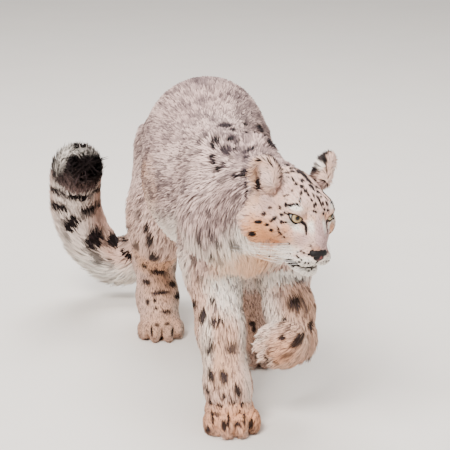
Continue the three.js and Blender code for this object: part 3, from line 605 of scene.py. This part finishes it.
class Marks:
    """Spots and patches set on the skin where a ray through their place in the frame meets it."""

    def __init__(self, tree, reach=2.4, ragged=1.0):
        self.tree, self.reach, self.ragged, self.marks = tree, reach, ragged, []

    def hit(self, x, y):
        """Where the ray meets the skin, or nearly does, and how far away that is."""
        way = unit(-BACK * FOCAL + RIGHT * (x - FRAME / 2) + UPWARD * (FRAME / 2 - y))
        place, _, _, distance = self.tree.ray_cast(Vector(EYE_POINT), Vector(way))
        if place is not None:
            return np.array(place), distance
        best = (40.0, None, None)
        for distance in np.arange(3600, 5200, 25.0):
            near, _, _, away = self.tree.find_nearest(Vector(EYE_POINT + way * distance))
            if away < best[0]:
                best = (away, np.array(near), distance)
        return best[1:]

    def add(self, x, y, a, b, turn, strength=1.0, colour="dark", reach=None, soft=.3):
        place, distance = self.hit(x, y)
        if place is None:
            return
        mm = distance / FOCAL
        c, s = math.cos(math.radians(turn)), math.sin(math.radians(turn))
        deep = max(a, b) * (reach or self.reach) + 4
        axes = np.stack([(RIGHT * c - UPWARD * s) / (a * mm), (RIGHT * s + UPWARD * c) / (b * mm),
                         BACK / (deep * mm)])
        self.marks.append((place, axes, strength, COLOURS[colour], soft))

    def mirror(self, middle=-9):
        """Marks on the right of the head, again on its left."""
        flip = np.eye(3) - 2 * np.outer(HEAD_AXES[0], HEAD_AXES[0])
        self.marks += [(HEAD_PLACE + flip @ (place - HEAD_PLACE), axes @ flip, *rest)
                       for place, axes, *rest in self.marks if in_head(place)[0] < middle]

    def paint(self, p, colour, ragged):
        """Paints the marks on the colours of points, in place."""
        for centre, axes, strength, tint, soft in self.marks:
            size = 1.6 / np.linalg.norm(axes, axis=1).min()
            near = np.flatnonzero((np.abs(p - centre) < size).all(1))
            d = np.linalg.norm((p[near] - centre) @ axes.T, axis=1) + ragged[near] * self.ragged
            colour[near] = mix(colour[near], tint, strength * smooth(1 + soft, 1 - soft, d))


def part_distances(p):
    """How far each point lies outside the trunk, head, tail and each leg."""
    return np.stack([TRUNK_FIELD(p), head_field(p), tail_field(p) - 22]
                    + [np.minimum(LEG_FIELDS[name](p), PAW_FIELDS[name](p)) for name in LEGS], 1)


def leg_way(name, p):
    """Down the leg at each point, and along the paw over the paw, with the share of the leg passed."""
    leg = LEGS[name]
    joints = np.array([j[0] for j in leg[0]], float)
    best, passed, way = np.full(len(p), 1e9), np.zeros(len(p)), np.zeros_like(p)
    lengths = np.linalg.norm(np.diff(joints, axis=0), axis=1)
    run = np.concatenate([[0], np.cumsum(lengths)])
    for i, (a, b) in enumerate(zip(joints, joints[1:])):
        t = np.clip((p - a) @ (b - a) / lengths[i] ** 2, 0, 1)
        d = np.linalg.norm(p - a - t[:, None] * (b - a), axis=1)
        nearer = d < best
        best, passed = np.where(nearer, (d, (run[i] + t * lengths[i]) / run[-1]), (best, passed))
        way = np.where(nearer[:, None], unit(b - a), way)
    paw = smooth(12, -6, PAW_FIELDS[name](p))
    ahead = unit(leg[2]) * .9 - unit(leg[3]) * .35
    return unit(mix(way, ahead, paw)), passed, paw


def along(v, n):
    """The part of each way v that lies on the surface with the normal n."""
    return v - n * (v * n).sum(1, keepdims=True)


def flow(p, n, apart):
    """The lie of the coat at points of the skin, along the surface."""
    weight = np.exp(-(apart - apart.min(1, keepdims=True)) / 14)
    chest = smooth(-120, -260, p[:, 1])[:, None] * smooth(.2, -.6, n[:, 1])[:, None]
    front = smooth(-40, -260, p[:, 1])[:, None]
    back = np.array((0, 1.0, 0)) * (1 - chest * .8)
    fall = np.array((0, 0, -1.0)) * (.45 + .5 * front + 1.6 * chest)
    h = in_head(p)
    cheek = smooth(10, -40, h[:, 2])[:, None]
    aside = HEAD_AXES[0] * np.sign(h[:, :1]) * .35
    ways = [unit(back + fall), unit(-HEAD_AXES[1] + aside * cheek - HEAD_AXES[2] * cheek * .75),
            TAIL_WAYS[tail_nearest(p)], *(leg_way(name, p)[0] for name in LEGS)]
    return unit(along((np.stack(ways, 1) * weight[..., None]).sum(1), n))


def chart(p, apart):
    """Each point's place on a flat unwrap of the skin: a chart a part, in its own square."""
    which = apart.argmin(1)
    place = np.zeros((len(p), 2))
    square = {0: (.01, .51, .48), 1: (.51, .51, .48), 2: (.51, .26, .23)}
    for k in np.unique(which):
        q = p[which == k]
        if k == 0:
            a, b = np.arctan2(q[:, 0] + 5, q[:, 2] - 425) / math.tau + .5, (q[:, 1] + 330) / 800
        elif k == 1:
            h = in_head(q)
            a = np.arctan2(h[:, 0], h[:, 2]) / math.tau + .5
            b = np.arctan2(h[:, 1] - 10, np.hypot(h[:, 0], h[:, 2])) / math.pi + .5
        elif k == 2:
            i = tail_nearest(q)
            out = q - TAIL_SPOTS[i]
            side = unit(np.cross(TAIL_WAYS[i], (0, -1.0, 0)))
            other = np.cross(TAIL_WAYS[i], side)
            a, b = np.arctan2((out * side).sum(1), (out * other).sum(1)) / math.tau + .5, TAIL_T[i]
        else:
            name = list(LEGS)[k - 3]
            _, passed, paw = leg_way(name, q)
            middle = LEGS[name][0][-1][0]
            a = np.arctan2(q[:, 0] - middle[0], middle[1] - q[:, 1]) / math.tau + .5
            b = passed * .7 + paw * .3 * smooth(60, -60, -in_paw(LEGS[name], q)[:, 1])
        x, y, w = square.get(k, (.01 + .123 * (k - 3), .26, .115))
        place[which == k] = np.array((x, y)) + w * np.clip(np.stack([a, b], 1), 0, 1)
    return place


def coat(p, n, apart):
    """The coat's colour at points of the skin, and which are on the trunk's top, head, tail and legs."""
    which = apart.argmin(1)
    trunk, head, tail = ((which == k).astype(float) for k in range(3))
    legs = (which > 2).astype(float)
    h = in_head(p)
    broad, fine = noise(p, 60, 1), noise(p, 9, 2)
    facing = n @ BACK
    seen = smooth(-.15, .15, facing)
    colour = mix(np.broadcast_to(CREAM, p.shape), GREY, np.clip(.25 + .75 * (broad - .3), 0, .8))

    def lay(tint, share):
        nonlocal colour
        colour = mix(colour, tint, share)

    # warmer down the flanks and legs, white under the belly, chest and throat and inside the legs
    lay(BUFF, smooth(400, 300, p[:, 2] + 40 * (broad - .5)) * trunk * .45)
    under = smooth(0, -.65, n[:, 2] + .3 * (broad - .5)) * trunk
    lay(WHITE, under)
    leg_near = smooth(25, -15, apart[:, 3:].min(1) - apart[:, 0]) * smooth(390, 250, p[:, 2])
    lay(BUFF, np.clip(leg_near * .42 * (.5 + broad), 0, 1) * (1 - head))
    lay(WHITE, smooth(.3, .9, n[:, 0] * -np.sign(p[:, 0])) * legs * .5)
    lay(CREAM, head * .6)
    lay(BUFF, head * np.clip(.1 + .5 * fine, 0, 1) * smooth(-60, -30, h[:, 2]))
    lay(WHITE, head * smooth(-38, -62, h[:, 2]))
    # the tail's pale underside, dark rings and dark end
    i = tail_nearest(p)
    t = TAIL_T[i]
    down = unit(p - TAIL_SPOTS[i]) @ np.array((-.15, -.3, -.95))
    lay(WHITE, tail * smooth(.1, .7, down) * .8)
    bands = smooth(.35, .75, np.sin(t * 52 + 1.5 * noise(p, 45, 5)) * .5 + .5 + .25 * (fine - .5))
    bands *= smooth(.9, .3, down) * smooth(.12, .3, t)
    lay(DARK, tail * bands * .85 * (1 - seen * .95))
    lay(DARK, tail * smooth(.875, .91, t + .02 * (fine - .5)))
    # rosettes where the photograph doesn't show the coat, and a dark line down the back
    d, _, number = cells(p + 14 * drift(p, 30, 21), 62, 3)
    ring = smooth(9, 4, np.abs(d - 16 - 6 * number)) * smooth(.38, .56, noise(p, 16, 6))
    ring = np.maximum(ring, smooth(14, 6, d) * .35)
    flank = trunk * (1 - under) * (1 - .9 * smooth(.2, .75, facing)) * smooth(-330, -200, p[:, 1])
    lay(SLATE * .5, flank * ring * (.62 + .23 * (1 - seen)))
    lay(DARK, legs * (1 - smooth(-.1, .3, facing)) * smooth(13, 7, d + 5 * (fine - .5)) * .9)
    spine = smooth(26, 8, np.abs(p[:, 0] + 15 - 25 * smooth(-100, -300, p[:, 1])))
    lay(SLATE, trunk * spine * smooth(.6, .95, n[:, 2]) * .45 * smooth(.3, .6, noise(p, 26, 8)))
    for side in (-1, 1):
        # the backs of the ears are black with a pale patch in the middle
        q = in_ear(side, p)
        near = np.abs(ellipsoid((0, 0, 0), EAR_HALF)(q)) < 9
        rear = near * smooth(-1, -6, q[:, 1]) * smooth(-26, -14, q[:, 2])
        lay(DARK, rear * .92)
        lay(WHITE, rear * smooth(15, 10, np.hypot(q[:, 0], q[:, 2] - 4)))
        rim = smooth(.84, .97, np.hypot(q[:, 0] / EAR_HALF[0], q[:, 2] / EAR_HALF[2]))
        lay(DARK, near * smooth(-12, 0, q[:, 2]) * rim * smooth(2, -3, q[:, 1]) * .9)
    ragged = .35 * (noise(p, 5, 9) - .5) + .25 * (noise(p, 11, 10) - .5)
    for group in GROUPS:
        group.paint(p, colour, ragged)
    return colour, (trunk * (1 - under), head, tail, legs)


def placed(name, data):
    made = bpy.data.objects.new(name, data)
    bpy.context.scene.collection.objects.link(made)
    return made


def mesh_of(name, points, faces, colours, uv=None, normals=None):
    """A mesh object from arrays: points in mm, faces as arrays of three or four corners."""
    mesh = bpy.data.meshes.new(name)
    mesh.vertices.add(len(points))
    mesh.vertices.foreach_set("co", metres(points).astype(np.float32).ravel())
    faces = [f for f in faces if len(f)]
    corners = np.concatenate([f.ravel() for f in faces])
    totals = np.concatenate([np.full(len(f), f.shape[1]) for f in faces])
    mesh.loops.add(len(corners))
    mesh.loops.foreach_set("vertex_index", corners.astype(np.int32))
    mesh.polygons.add(len(totals))
    mesh.polygons.foreach_set("loop_start", (np.cumsum(totals) - totals).astype(np.int32))
    mesh.polygons.foreach_set("loop_total", totals.astype(np.int32))
    mesh.polygons.foreach_set("use_smooth", np.ones(len(totals), bool))
    mesh.update(calc_edges=True)
    shade = mesh.attributes.new("Coat", "FLOAT_COLOR", "POINT")
    rgba = np.concatenate([np.clip(colours, 0, 1), np.ones((len(points), 1))], 1)
    shade.data.foreach_set("color", rgba.astype(np.float32).ravel())
    if uv is not None:
        layer = mesh.uv_layers.new(name="OFBake")
        layer.data.foreach_set("uv", uv[corners].astype(np.float32).ravel())
    if normals is not None:
        mesh.normals_split_custom_set_from_vertices(normals.astype(np.float32))
    return placed(name, mesh)


def corner_normals(points, quads):
    a, b, c, d = (points[quads[:, k]] for k in range(4))
    face = np.cross(c - a, d - b)
    return unit(np.stack([sum(np.bincount(quads[:, k], face[:, axis], len(points)) for k in range(4))
                          for axis in range(3)], 1))


def outward(points, quads, field):
    """The faces turned so that they face out of the field, with the corners' normals."""
    normals = corner_normals(points, quads)
    test = np.linspace(0, len(points) - 1, 400).astype(int)
    if (field(points[test] + normals[test]) < field(points[test] - normals[test])).mean() > .5:
        return quads[:, ::-1].copy(), -normals
    return quads, normals


def strands(spine, width, side, out, flat=.4):
    """Three-sided tapering strands: spine is strands x rings x 3, the last ring being the tip."""
    count, rings = spine.shape[0], spine.shape[1] - 1
    offsets = np.stack([side * .5, -side * .5, out * flat], 1)
    body = spine[:, :-1, None] + offsets[:, None] * width[:, :, None, None]
    points = np.concatenate([body.reshape(count, rings * 3, 3), spine[:, -1:]], 1)
    first = np.arange(count)[:, None] * (3 * rings + 1)
    quads, tips = [], []
    for k, j in ((0, 1), (1, 2), (2, 0)):
        for low in range(0, 3 * (rings - 1), 3):
            quads.append(np.array([[low + k, low + j, low + 3 + j, low + 3 + k]]) + first)
        tips.append(np.array([[3 * rings - 3 + k, 3 * rings - 3 + j, 3 * rings]]) + first)
    return points.reshape(-1, 3), np.concatenate(quads), np.concatenate(tips), 3 * rings + 1


def scatter(points, quads, normals, density, count):
    """Roots spread over the skin in proportion to its area and the density at its corners."""
    a, b, c, d = (points[quads[:, k]] for k in range(4))
    run = np.cumsum(np.linalg.norm(np.cross(c - a, d - b), axis=1) * density[quads].mean(1))
    # even steps with a little play keep the roots from crowding
    at = (np.arange(count) + rng.random(count)) / count * run[-1]
    face = quads[np.minimum(np.searchsorted(run, at), len(quads) - 1)]
    u, v = rng.random((count, 1)), rng.random((count, 1))
    weights = ((1 - u) * (1 - v), u * (1 - v), u * v, (1 - u) * v)
    place, normal = (sum(w * what[face[:, k]] for k, w in enumerate(weights)) for what in (points, normals))
    return place, unit(normal)


def grow(name, roots, normals, look, pieces):
    """Tufts of the coat, in pieces. look gives their length, width, lift, clumping and straying."""
    count = len(roots)
    apart = part_distances(roots)
    length, width, lift, clump, stray = look(roots, normals, apart)
    length = (length * (.75 + .5 * rng.random(count)))[:, None]
    stray = stray[:, None]
    way = flow(roots, normals, apart) + drift(roots, 34, 31) * stray * 1.1
    way = unit(along(unit(way + (rng.random(roots.shape) - .5) * stray), normals))
    rise = lift * (.55 + .45 * rng.random(count))
    tip = roots + way * length + normals * rise[:, None]
    _, centre, _ = cells(roots, 17, 41)
    tip = tip + along(centre + way * length - tip, normals) * clump[:, None]
    middle = roots + (tip - roots) * .5
    spine = np.stack([roots - normals * 1.2, middle + normals * (rise * .34)[:, None], tip], 1)
    spine[:, :, 2] = np.maximum(spine[:, :, 2], FLOOR_GAP / 2)
    side = unit(unit(np.cross(way, normals)) + normals * (rng.random((count, 1)) - .5) * .7)
    out = unit(np.cross(way, side))
    out = out * np.sign((out * normals).sum(1, keepdims=True))
    points, quads, tips, per = strands(spine, np.stack([width, width * .8], 1), side, out)
    # painted shade and light: each tuft is darker towards its root, deep in the coat, and a little lighter
    # at the tip, with normals near the skin's own so that tufts shade softly
    colour, parts = coat(middle, normals, part_distances(middle))
    shades = salt(roots, colour, *parts)[:, None] * np.array([.62] * 3 + [.93] * 3 + [1.06])[:, None]
    root = normals[:, None] * .75 + np.stack([side * .5, -side * .5, out], 1) * .35
    end = (normals * .85 + way * .3)[:, None]
    soft = unit(np.concatenate([root, root + way[:, None] * .1, end], 1))
    uv = chart(roots, apart)[:, None] + TUFT_PATCH * np.array(
        [(-.9, -1), (.9, -1), (0, -1), (-.9, .1), (.9, .1), (0, .1), (0, 1)])
    uv, shades, soft = uv.reshape(-1, 2), shades.reshape(-1, 3), soft.reshape(-1, 3)
    edges = np.linspace(0, count, pieces + 1).astype(int) * per
    made = []
    for i, j in zip(edges, edges[1:]):
        faces = [f[(f[:, 0] >= i) & (f[:, 0] < j)] - i for f in (quads, tips)]
        made.append(mesh_of(f"{name}_{len(made) + 1}", points[i:j], faces, shades[i:j], uv[i:j], soft[i:j]))
    return made


def salt(p, colour, trunk, head, tail, legs):
    """Dark-tipped hairs scattered through the pale coat."""
    n = len(p)
    thick = .25 + .6 * smooth(.35, .7, noise(p, 30, 51))
    chance = trunk * thick * .62 + head * .17 + tail * .14 + legs * .24
    streak = smooth(.52, .66, noise(p * np.array((1, .6, 1)), 8, 52)) * trunk
    dark = ((rng.random(n) < chance) * (.35 + .45 * rng.random(n)) + streak * .5) * (1 - tail * .5)
    light = (rng.random(n) < .22) * .35
    shade = .9 + .18 * rng.random(n)
    colour = mix(colour, SLATE * .62, np.clip(dark, 0, .8)) * shade[:, None]
    return mix(colour, np.minimum(colour * 1.25, .95), light)


# Materials
def feed(tree, node, **values):
    """Sets a node's inputs by name, with _ for a space, to values or to other nodes' outputs."""
    for name, value in values.items():
        socket = node.inputs[name.replace("_", " ")]
        if isinstance(value, bpy.types.NodeSocket):
            tree.links.new(value, socket)
        else:
            socket.default_value = value


def node(tree, kind, operation=None, **values):
    made = tree.nodes.new("ShaderNode" + kind)
    if operation:
        made.operation = operation
    feed(tree, made, **values)
    return made


def material_of(name, roughness, specular):
    material = bpy.data.materials.new(name)
    material.use_nodes = True
    tree = material.node_tree
    shader = tree.nodes["Principled BSDF"]
    feed(tree, shader, Roughness=roughness, Specular_IOR_Level=specular)
    return material, tree, shader


def surface(tree, shader, colour, grain, fade, strength, depth):
    """The colour, lighter and darker over the range of fade by the grain, and a bump by the grain."""
    shade = node(tree, "MapRange", To_Min=fade[0], To_Max=fade[1], Value=grain)
    tint = node(tree, "VectorMath", "SCALE", Vector=colour, Scale=shade.outputs["Result"])
    bump = node(tree, "Bump", Strength=strength, Distance=depth, Height=grain)
    feed(tree, shader, Base_Color=tint.outputs["Vector"], Normal=bump.outputs["Normal"])


def varied(name, roughness, scale, strength, spread, specular):
    """A coat or skin material: the painted colour with fine variation and bump."""
    material, tree, shader = material_of(name, roughness, specular)
    paint, place = node(tree, "Attribute"), node(tree, "TexCoord")
    paint.attribute_name = "Coat"
    grain = node(tree, "TexNoise", Scale=scale, Detail=6.0, Vector=place.outputs["Object"])
    surface(tree, shader, paint.outputs["Color"], grain.outputs["Fac"], (1 - spread, 1 + spread),
            strength, .001)
    return material


FUR = varied("fur", .82, 420, .35, .1, .12)
SKIN = varied("undercoat", .9, 700, .6, .16, .1)
NOSE_SKIN = varied("nose_skin", .5, 900, .7, .2, .25)
WHISKER = varied("whisker", .35, 300, .1, .05, .4)


def ride(piece, material, slot, *replaced):
    piece.data.materials.append(material)
    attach(piece, "root")
    if replaced:
        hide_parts(*replaced)
    return piece


# Skins
body_points, body_quads = meshed(body_skin, (-330, -376, -4), (230, 640, 600), BODY_STEP)
body_quads, body_normals = outward(body_points, body_quads, body_skin)
head_points, head_quads = meshed(head_skin, HEAD_PLACE - 130, HEAD_PLACE + 130, HEAD_STEP)
head_quads, head_normals = outward(head_points, head_quads, head_skin)

tree = BVHTree.FromPolygons(
    [tuple(p) for p in np.concatenate([body_points, head_points])],
    [tuple(q) for q in np.concatenate([body_quads, head_quads + len(body_points)])])
patches, face_spots = Marks(tree, reach=2), Marks(tree, ragged=.45)
spots, leg_spots = Marks(tree, ragged=.7), Marks(tree, ragged=.6)
for mark in PATCHES:
    patches.add(*mark, soft=.55)
# small marks are drawn a little larger, because the tufts that carry them are a few millimetres wide
for x, y, a, b, *rest in HEAD_MARKS:
    face_spots.add(x, y, a * 1.15 + .2, b * 1.25 + .35, *rest)
for mark in FACE_LINES:
    face_spots.add(*mark)
for mark in EAR_MARKS:
    spots.add(*mark)
for x, y, a, b, *rest in BODY_MARKS:
    spots.add(x, y, a * 1.2 + .6, b * 1.3 + .8, *rest)
for x, y, a, b, turn, *rest in LEG_MARKS + PAW_MARKS:
    leg_spots.add(x, y, a * 1.06, b * 1.06, turn, *(rest or [.96]), soft=.42)
for mark in TAIL_MARKS:
    spots.add(*mark)
patches.mirror()
face_spots.mirror()
GROUPS = [patches, face_spots, spots, leg_spots]


def painted(points, normals):
    colour, _ = coat(points, normals, part_distances(points))
    return colour * (.8 + .25 * noise(points, 6, 61))[:, None]


# painted shade: the body's skin is darkened to .8 of the coat's colour, as it lies in shade beneath the
# tufts
body_paint = painted(body_points, body_normals) * .8
head_paint = painted(head_points, head_normals)
# black rims of the lids, dark lips, and painted shade in the hollows of the ears
for side in (-1, 1):
    d = slit(side, head_points)
    near = (np.linalg.norm(head_points - EYES[side][0], axis=1) < 30) & (d < 30)
    head_paint = mix(head_paint, DARK * .5, smooth(4.2, 1.6, d) * near)
front = in_head(head_points)[:, 1] > 20
for line, tint, outer, inner in ((LIPS, DARK * .6, 4.4, 2.2), (CLEFT, DARK, 3.6, 2)):
    away = np.full(len(head_points), FAR)
    away[front] = near_points(head_points[front], line)
    head_paint = mix(head_paint, tint, smooth(outer, inner, away))
# painted shade: the hollow inside each ear is darkened to a dark brown
for side in (-1, 1):
    q = in_ear(side, head_points)
    inside = ellipsoid((0, EAR_HALF[1] * .62, 0), (23.5, 17.5, 31.5))(q)
    head_paint = mix(head_paint, BROWN * .45, smooth(1.5, -2, inside) * smooth(12, -6, q[:, 2]))

legs_and_paws = [f"{kind}_{side}" for side in ("right", "left")
                 for kind in ("foreleg", "forepaw", "hindleg", "hindpaw")]
ride(mesh_of("skin_body", body_points, [body_quads], body_paint), SKIN, "body_coat",
     "torso", "neck", *legs_and_paws, "tail_1", "tail_2", "tail_3", "tail_4")
ride(mesh_of("skin_head", head_points, [head_quads], head_paint), SKIN, "body_coat",
     "head", "ear_right", "ear_left")


# The coat
def paw_share(p):
    return np.max([smooth(10, -4, f(p)) for f in PAW_FIELDS.values()], 0)


def trunk_look(p, n, apart):
    under = smooth(.1, -.6, n[:, 2]) * smooth(430, 330, p[:, 2])
    chest = smooth(-120, -230, p[:, 1]) * smooth(460, 380, p[:, 2]) * smooth(.1, -.5, n[:, 1])
    long = np.maximum(under, chest)
    leg = smooth(6, -6, apart[:, 3:].min(1) - apart[:, 0]) * smooth(330, 250, p[:, 2])
    paw = paw_share(p)
    length = (18 + 3 * smooth(-180, -260, p[:, 1]) + 24 * long) * (1 - .32 * leg) * (1 - .38 * paw)
    width = (3.6 + 1.4 * long) * (1 - .2 * leg) * (1 - .22 * paw)
    lift = (trunk_depth(p) - 2) * (1 - .5 * leg) * (1 - .45 * paw)
    return length, width, lift, .16 + .4 * long - .1 * leg, .13 + .2 * long


def tail_look(p, n, apart):
    i = tail_nearest(p)
    full, end = (TAIL_OUT - TAIL_SKIN) * TAIL_SCALE[i], smooth(.9, 1, TAIL_T[i])
    return 46 + 6 * end, 0 * end + 5.0, full * (1 + .1 * end), 0 * end + .45, 0 * end + .5


def head_look(p, n, apart):
    h = in_head(p)
    face = smooth(0, 60, h[:, 1])
    ruff = smooth(15, -30, h[:, 1]) * smooth(30, -30, h[:, 2])
    chin = smooth(-45, -62, h[:, 2]) * smooth(90, 60, h[:, 1])
    return (15 - 8.5 * face + 17 * ruff + 8 * chin, 2.5 - .9 * face + 1.6 * ruff,
            head_depth(p) * (.75 + .25 * ruff), .12 + .4 * ruff, .14 + .25 * ruff)


def bare(p):
    """Where the head carries no tufts: the eyes, nose and lips."""
    out = ellipsoid((0, 0, 0), (20, 16, 14))((p - NOSE) @ HEAD_AXES.T) < 0
    for side in (-1, 1):
        out |= (np.linalg.norm(p - EYES[side][0], axis=1) < 24) & (slit(side, p) < 2.6)
    front = in_head(p)[:, 1] > 20
    for line, width in ((LIPS, 3.2), (CLEFT, 2.6)):
        out[front] |= near_points(p[front], line) < width
    return out


on_tail = (part_distances(body_points).argmin(1) == 2).astype(float)
plain = (1 - on_tail) * (head_field(body_points) >= -4) * (body_points[:, 2] > 3)
plain = plain * (1 + .9 * smooth(200, 100, body_points[:, 2])) * (1 + 1.8 * paw_share(body_points))
fur = grow("fur_body", *scatter(body_points, body_quads, body_normals, plain, BODY_TUFTS), trunk_look, 5)
fur += grow("fur_tail", *scatter(body_points, body_quads, body_normals, on_tail, TAIL_TUFTS), tail_look, 1)
h = in_head(head_points)
density = (1 + 1.6 * smooth(0, 50, h[:, 1])) * (h[:, 1] > -74)
roots, normals = scatter(head_points, head_quads, head_normals, density, HEAD_TUFTS)
keep = ~bare(roots)
fur += grow("fur_head", roots[keep], normals[keep], head_look, 3)
for piece in fur:
    ride(piece, FUR, "tail_coat" if "tail" in piece.name else "body_coat")

# Nose
nose_points, nose_quads = meshed(nose_skin, NOSE - 26, NOSE + 26, NOSE_STEP)
nose_quads, _ = outward(nose_points, nose_quads, nose_skin)
q = (nose_points - NOSE) @ HEAD_AXES.T
pink = smooth(9, 2, np.hypot(q[:, 0], q[:, 2] + 2)) * smooth(.35, .7, noise(nose_points, 6, 71))
nose_paint = mix(np.broadcast_to(linear(14, 9, 10), nose_points.shape), linear(130, 66, 66), pink * .75)
ride(mesh_of("nose_leather", nose_points, [nose_quads], nose_paint), NOSE_SKIN, "nose_leather", "nose")


# Eyes: a ball with a clear bulge in front; its colours run in rings about the way it looks
def eye_material():
    material, tree, shader = material_of("eye", .14, .2)
    place = node(tree, "TexCoord").outputs["Object"]
    flat = node(tree, "VectorMath", "MULTIPLY", Vector=place)
    flat.inputs[1].default_value = (1, 1, 0)
    size = node(tree, "VectorMath", "LENGTH", Vector=flat.outputs[0])
    span = node(tree, "MapRange", From_Max=EYE_RADIUS / 1000, Value=size.outputs["Value"])
    ramp = node(tree, "ValToRGB", Fac=span.outputs["Result"])
    stops = [(0, (4, 4, 5)), (.2, (5, 5, 6)), (.25, (96, 78, 48)), (.36, (160, 138, 100)),
             (.52, (186, 164, 126)), (.6, (128, 104, 76)), (.67, (14, 10, 8)), (1, (30, 20, 18))]
    elements = ramp.color_ramp.elements
    for k, (at, rgb) in enumerate(stops):
        stop = elements[0] if k == 0 else elements.new(at)
        stop.position = at
        stop.color = (*linear(*rgb), 1)
    elements.remove(elements[-1])
    rays = node(tree, "TexNoise", Scale=900, Vector=place)
    surface(tree, shader, ramp.outputs["Color"], rays.outputs["Fac"], (.7, 1.25), .05, .0004)
    feed(tree, shader, Coat_Weight=.2, Coat_Roughness=.03)
    return material


TURNS, RINGS = 48, 32
a = np.linspace(0, math.tau, TURNS, endpoint=False)
b = np.linspace(0, math.pi, RINGS + 1)[1:-1]
bulge = EYE_RADIUS * (1 + (EYE_BULGE - 1) * smooth(.75, 0, b))
ring = np.stack([np.outer(np.sin(b) * bulge, np.cos(a)), np.outer(np.sin(b) * bulge, np.sin(a)),
                 np.outer(np.cos(b) * bulge, np.ones(TURNS))], -1).reshape(-1, 3)
ball = np.vstack([ring, [(0, 0, EYE_RADIUS * EYE_BULGE), (0, 0, -EYE_RADIUS)]])
first, last = np.arange(0, len(ring) - TURNS, TURNS), len(ring) - TURNS
k = np.arange(TURNS)
after = (k + 1) % TURNS
quads = np.concatenate([np.stack([i + k, i + TURNS + k, i + TURNS + after, i + after], 1) for i in first])
front = np.stack([k, after, np.full(TURNS, len(ring))], 1)
rear = np.stack([last + after, last + k, np.full(TURNS, len(ring) + 1)], 1)
EYE = eye_material()
for side, name in ((-1, "right"), (1, "left")):
    eye = mesh_of(f"eyeball_{name}", ball - SHIFT, [quads, front, rear], np.full(ball.shape, .5))
    look = Vector(head_way(GAZE[0] * side, *GAZE[1:])).to_track_quat("Z", "Y").to_matrix().to_4x4()
    eye.matrix_world = Matrix.Translation(Vector(metres(EYES[side][0]))) @ look
    ride(eye, EYE, "eye", f"eye_{name}")

# Whiskers sweep back from the lips, with a few above the eyes
starts, ends = [], []
for side in (-1, 1):
    for row in range(4):
        for k in range(5):
            starts.append(on_head(side * (25 + 4 * k), 98 - 9 * k - 2 * row, -30 - 6 * row))
            far = 60 + 13 * k + 6 * row
            ends.append(on_head(side * (34 + far * .5), 84 - far * .95, -40 - 9 * row - 4 * k))
    for k in range(3):
        starts.append(on_head(side * (28 + 4 * k), 58, 42))
        ends.append(on_head(side * (44 + 9 * k), 34, 76 - 8 * k))
starts = surface_from(head_under, on_head(0, 60, -15), unit(np.array(starts) - on_head(0, 60, -15)))
ends = np.array(ends)
s = np.linspace(0, 1, 9)[None, :, None]
out = unit(starts - on_head(0, 40, -15))[:, None]
spine = starts[:, None] * (1 - s) + ends[:, None] * s + out * 44 * s * (1 - s)
spine = spine + np.array((0, 0, -10.0)) * s ** 2
length_way = unit(ends - starts)
side_way = unit(np.cross(length_way, (0, 0, 1.0)))
width = .62 * (1 - .8 * s[:, :-1, 0]) * np.ones((len(starts), 1))
points, quads, tips, _ = strands(spine, width, side_way, unit(np.cross(side_way, length_way)), .8)
hair = mesh_of("whiskers", points, [quads, tips], np.broadcast_to(linear(250, 247, 242), points.shape))
ride(hair, WHISKER, "body_coat")

# Floor, lights and camera
floor_points = np.array([(-30, -20, 0), (30, -20, 0), (30, 60, 0), (-30, 60, 0)]) * 1000.0
floor = mesh_of("floor", floor_points - SHIFT, [np.array([[0, 1, 2, 3]])],
                np.broadcast_to(linear(222, 218, 212), (4, 3)))
floor.data.materials.append(varied("floor", .85, 6, .05, .03, .1))

world = bpy.data.worlds.new("studio")
bpy.context.scene.world = world
world.use_nodes = True
feed(world.node_tree, world.node_tree.nodes["Background"], Color=(1, .97, .96, 1), Strength=.62)


def area_light(name, place, aim, size, power, colour):
    light = bpy.data.lights.new(name, "AREA")
    light.size = size
    light.energy = power
    light.color = colour
    lamp = placed(name, light)
    lamp.location = place
    lamp.rotation_euler = (Vector(aim) - Vector(place)).to_track_quat("-Z", "Y").to_euler()


area_light("key", (-1.6, -2.6, 3.6), (0, 0, .3), 1.8, 380, (1, .95, .91))
area_light("fill", (3.2, -2.2, 2.0), (0, 0, .3), 3.0, 60, (1, .97, .96))
area_light("top", (.2, 1.6, 3.6), (0, .2, .3), 2.2, 210, (1, .97, .95))

camera_data = bpy.data.cameras.new("camera")
camera_data.sensor_width = 36
camera_data.lens = FOCAL * 36 / FRAME
camera_data.clip_end = 200
camera = placed("camera", camera_data)
camera.location = metres(EYE_POINT)
camera.rotation_euler = (math.pi / 2 - ELEVATION, 0, AZIMUTH)
bpy.context.scene.camera = camera
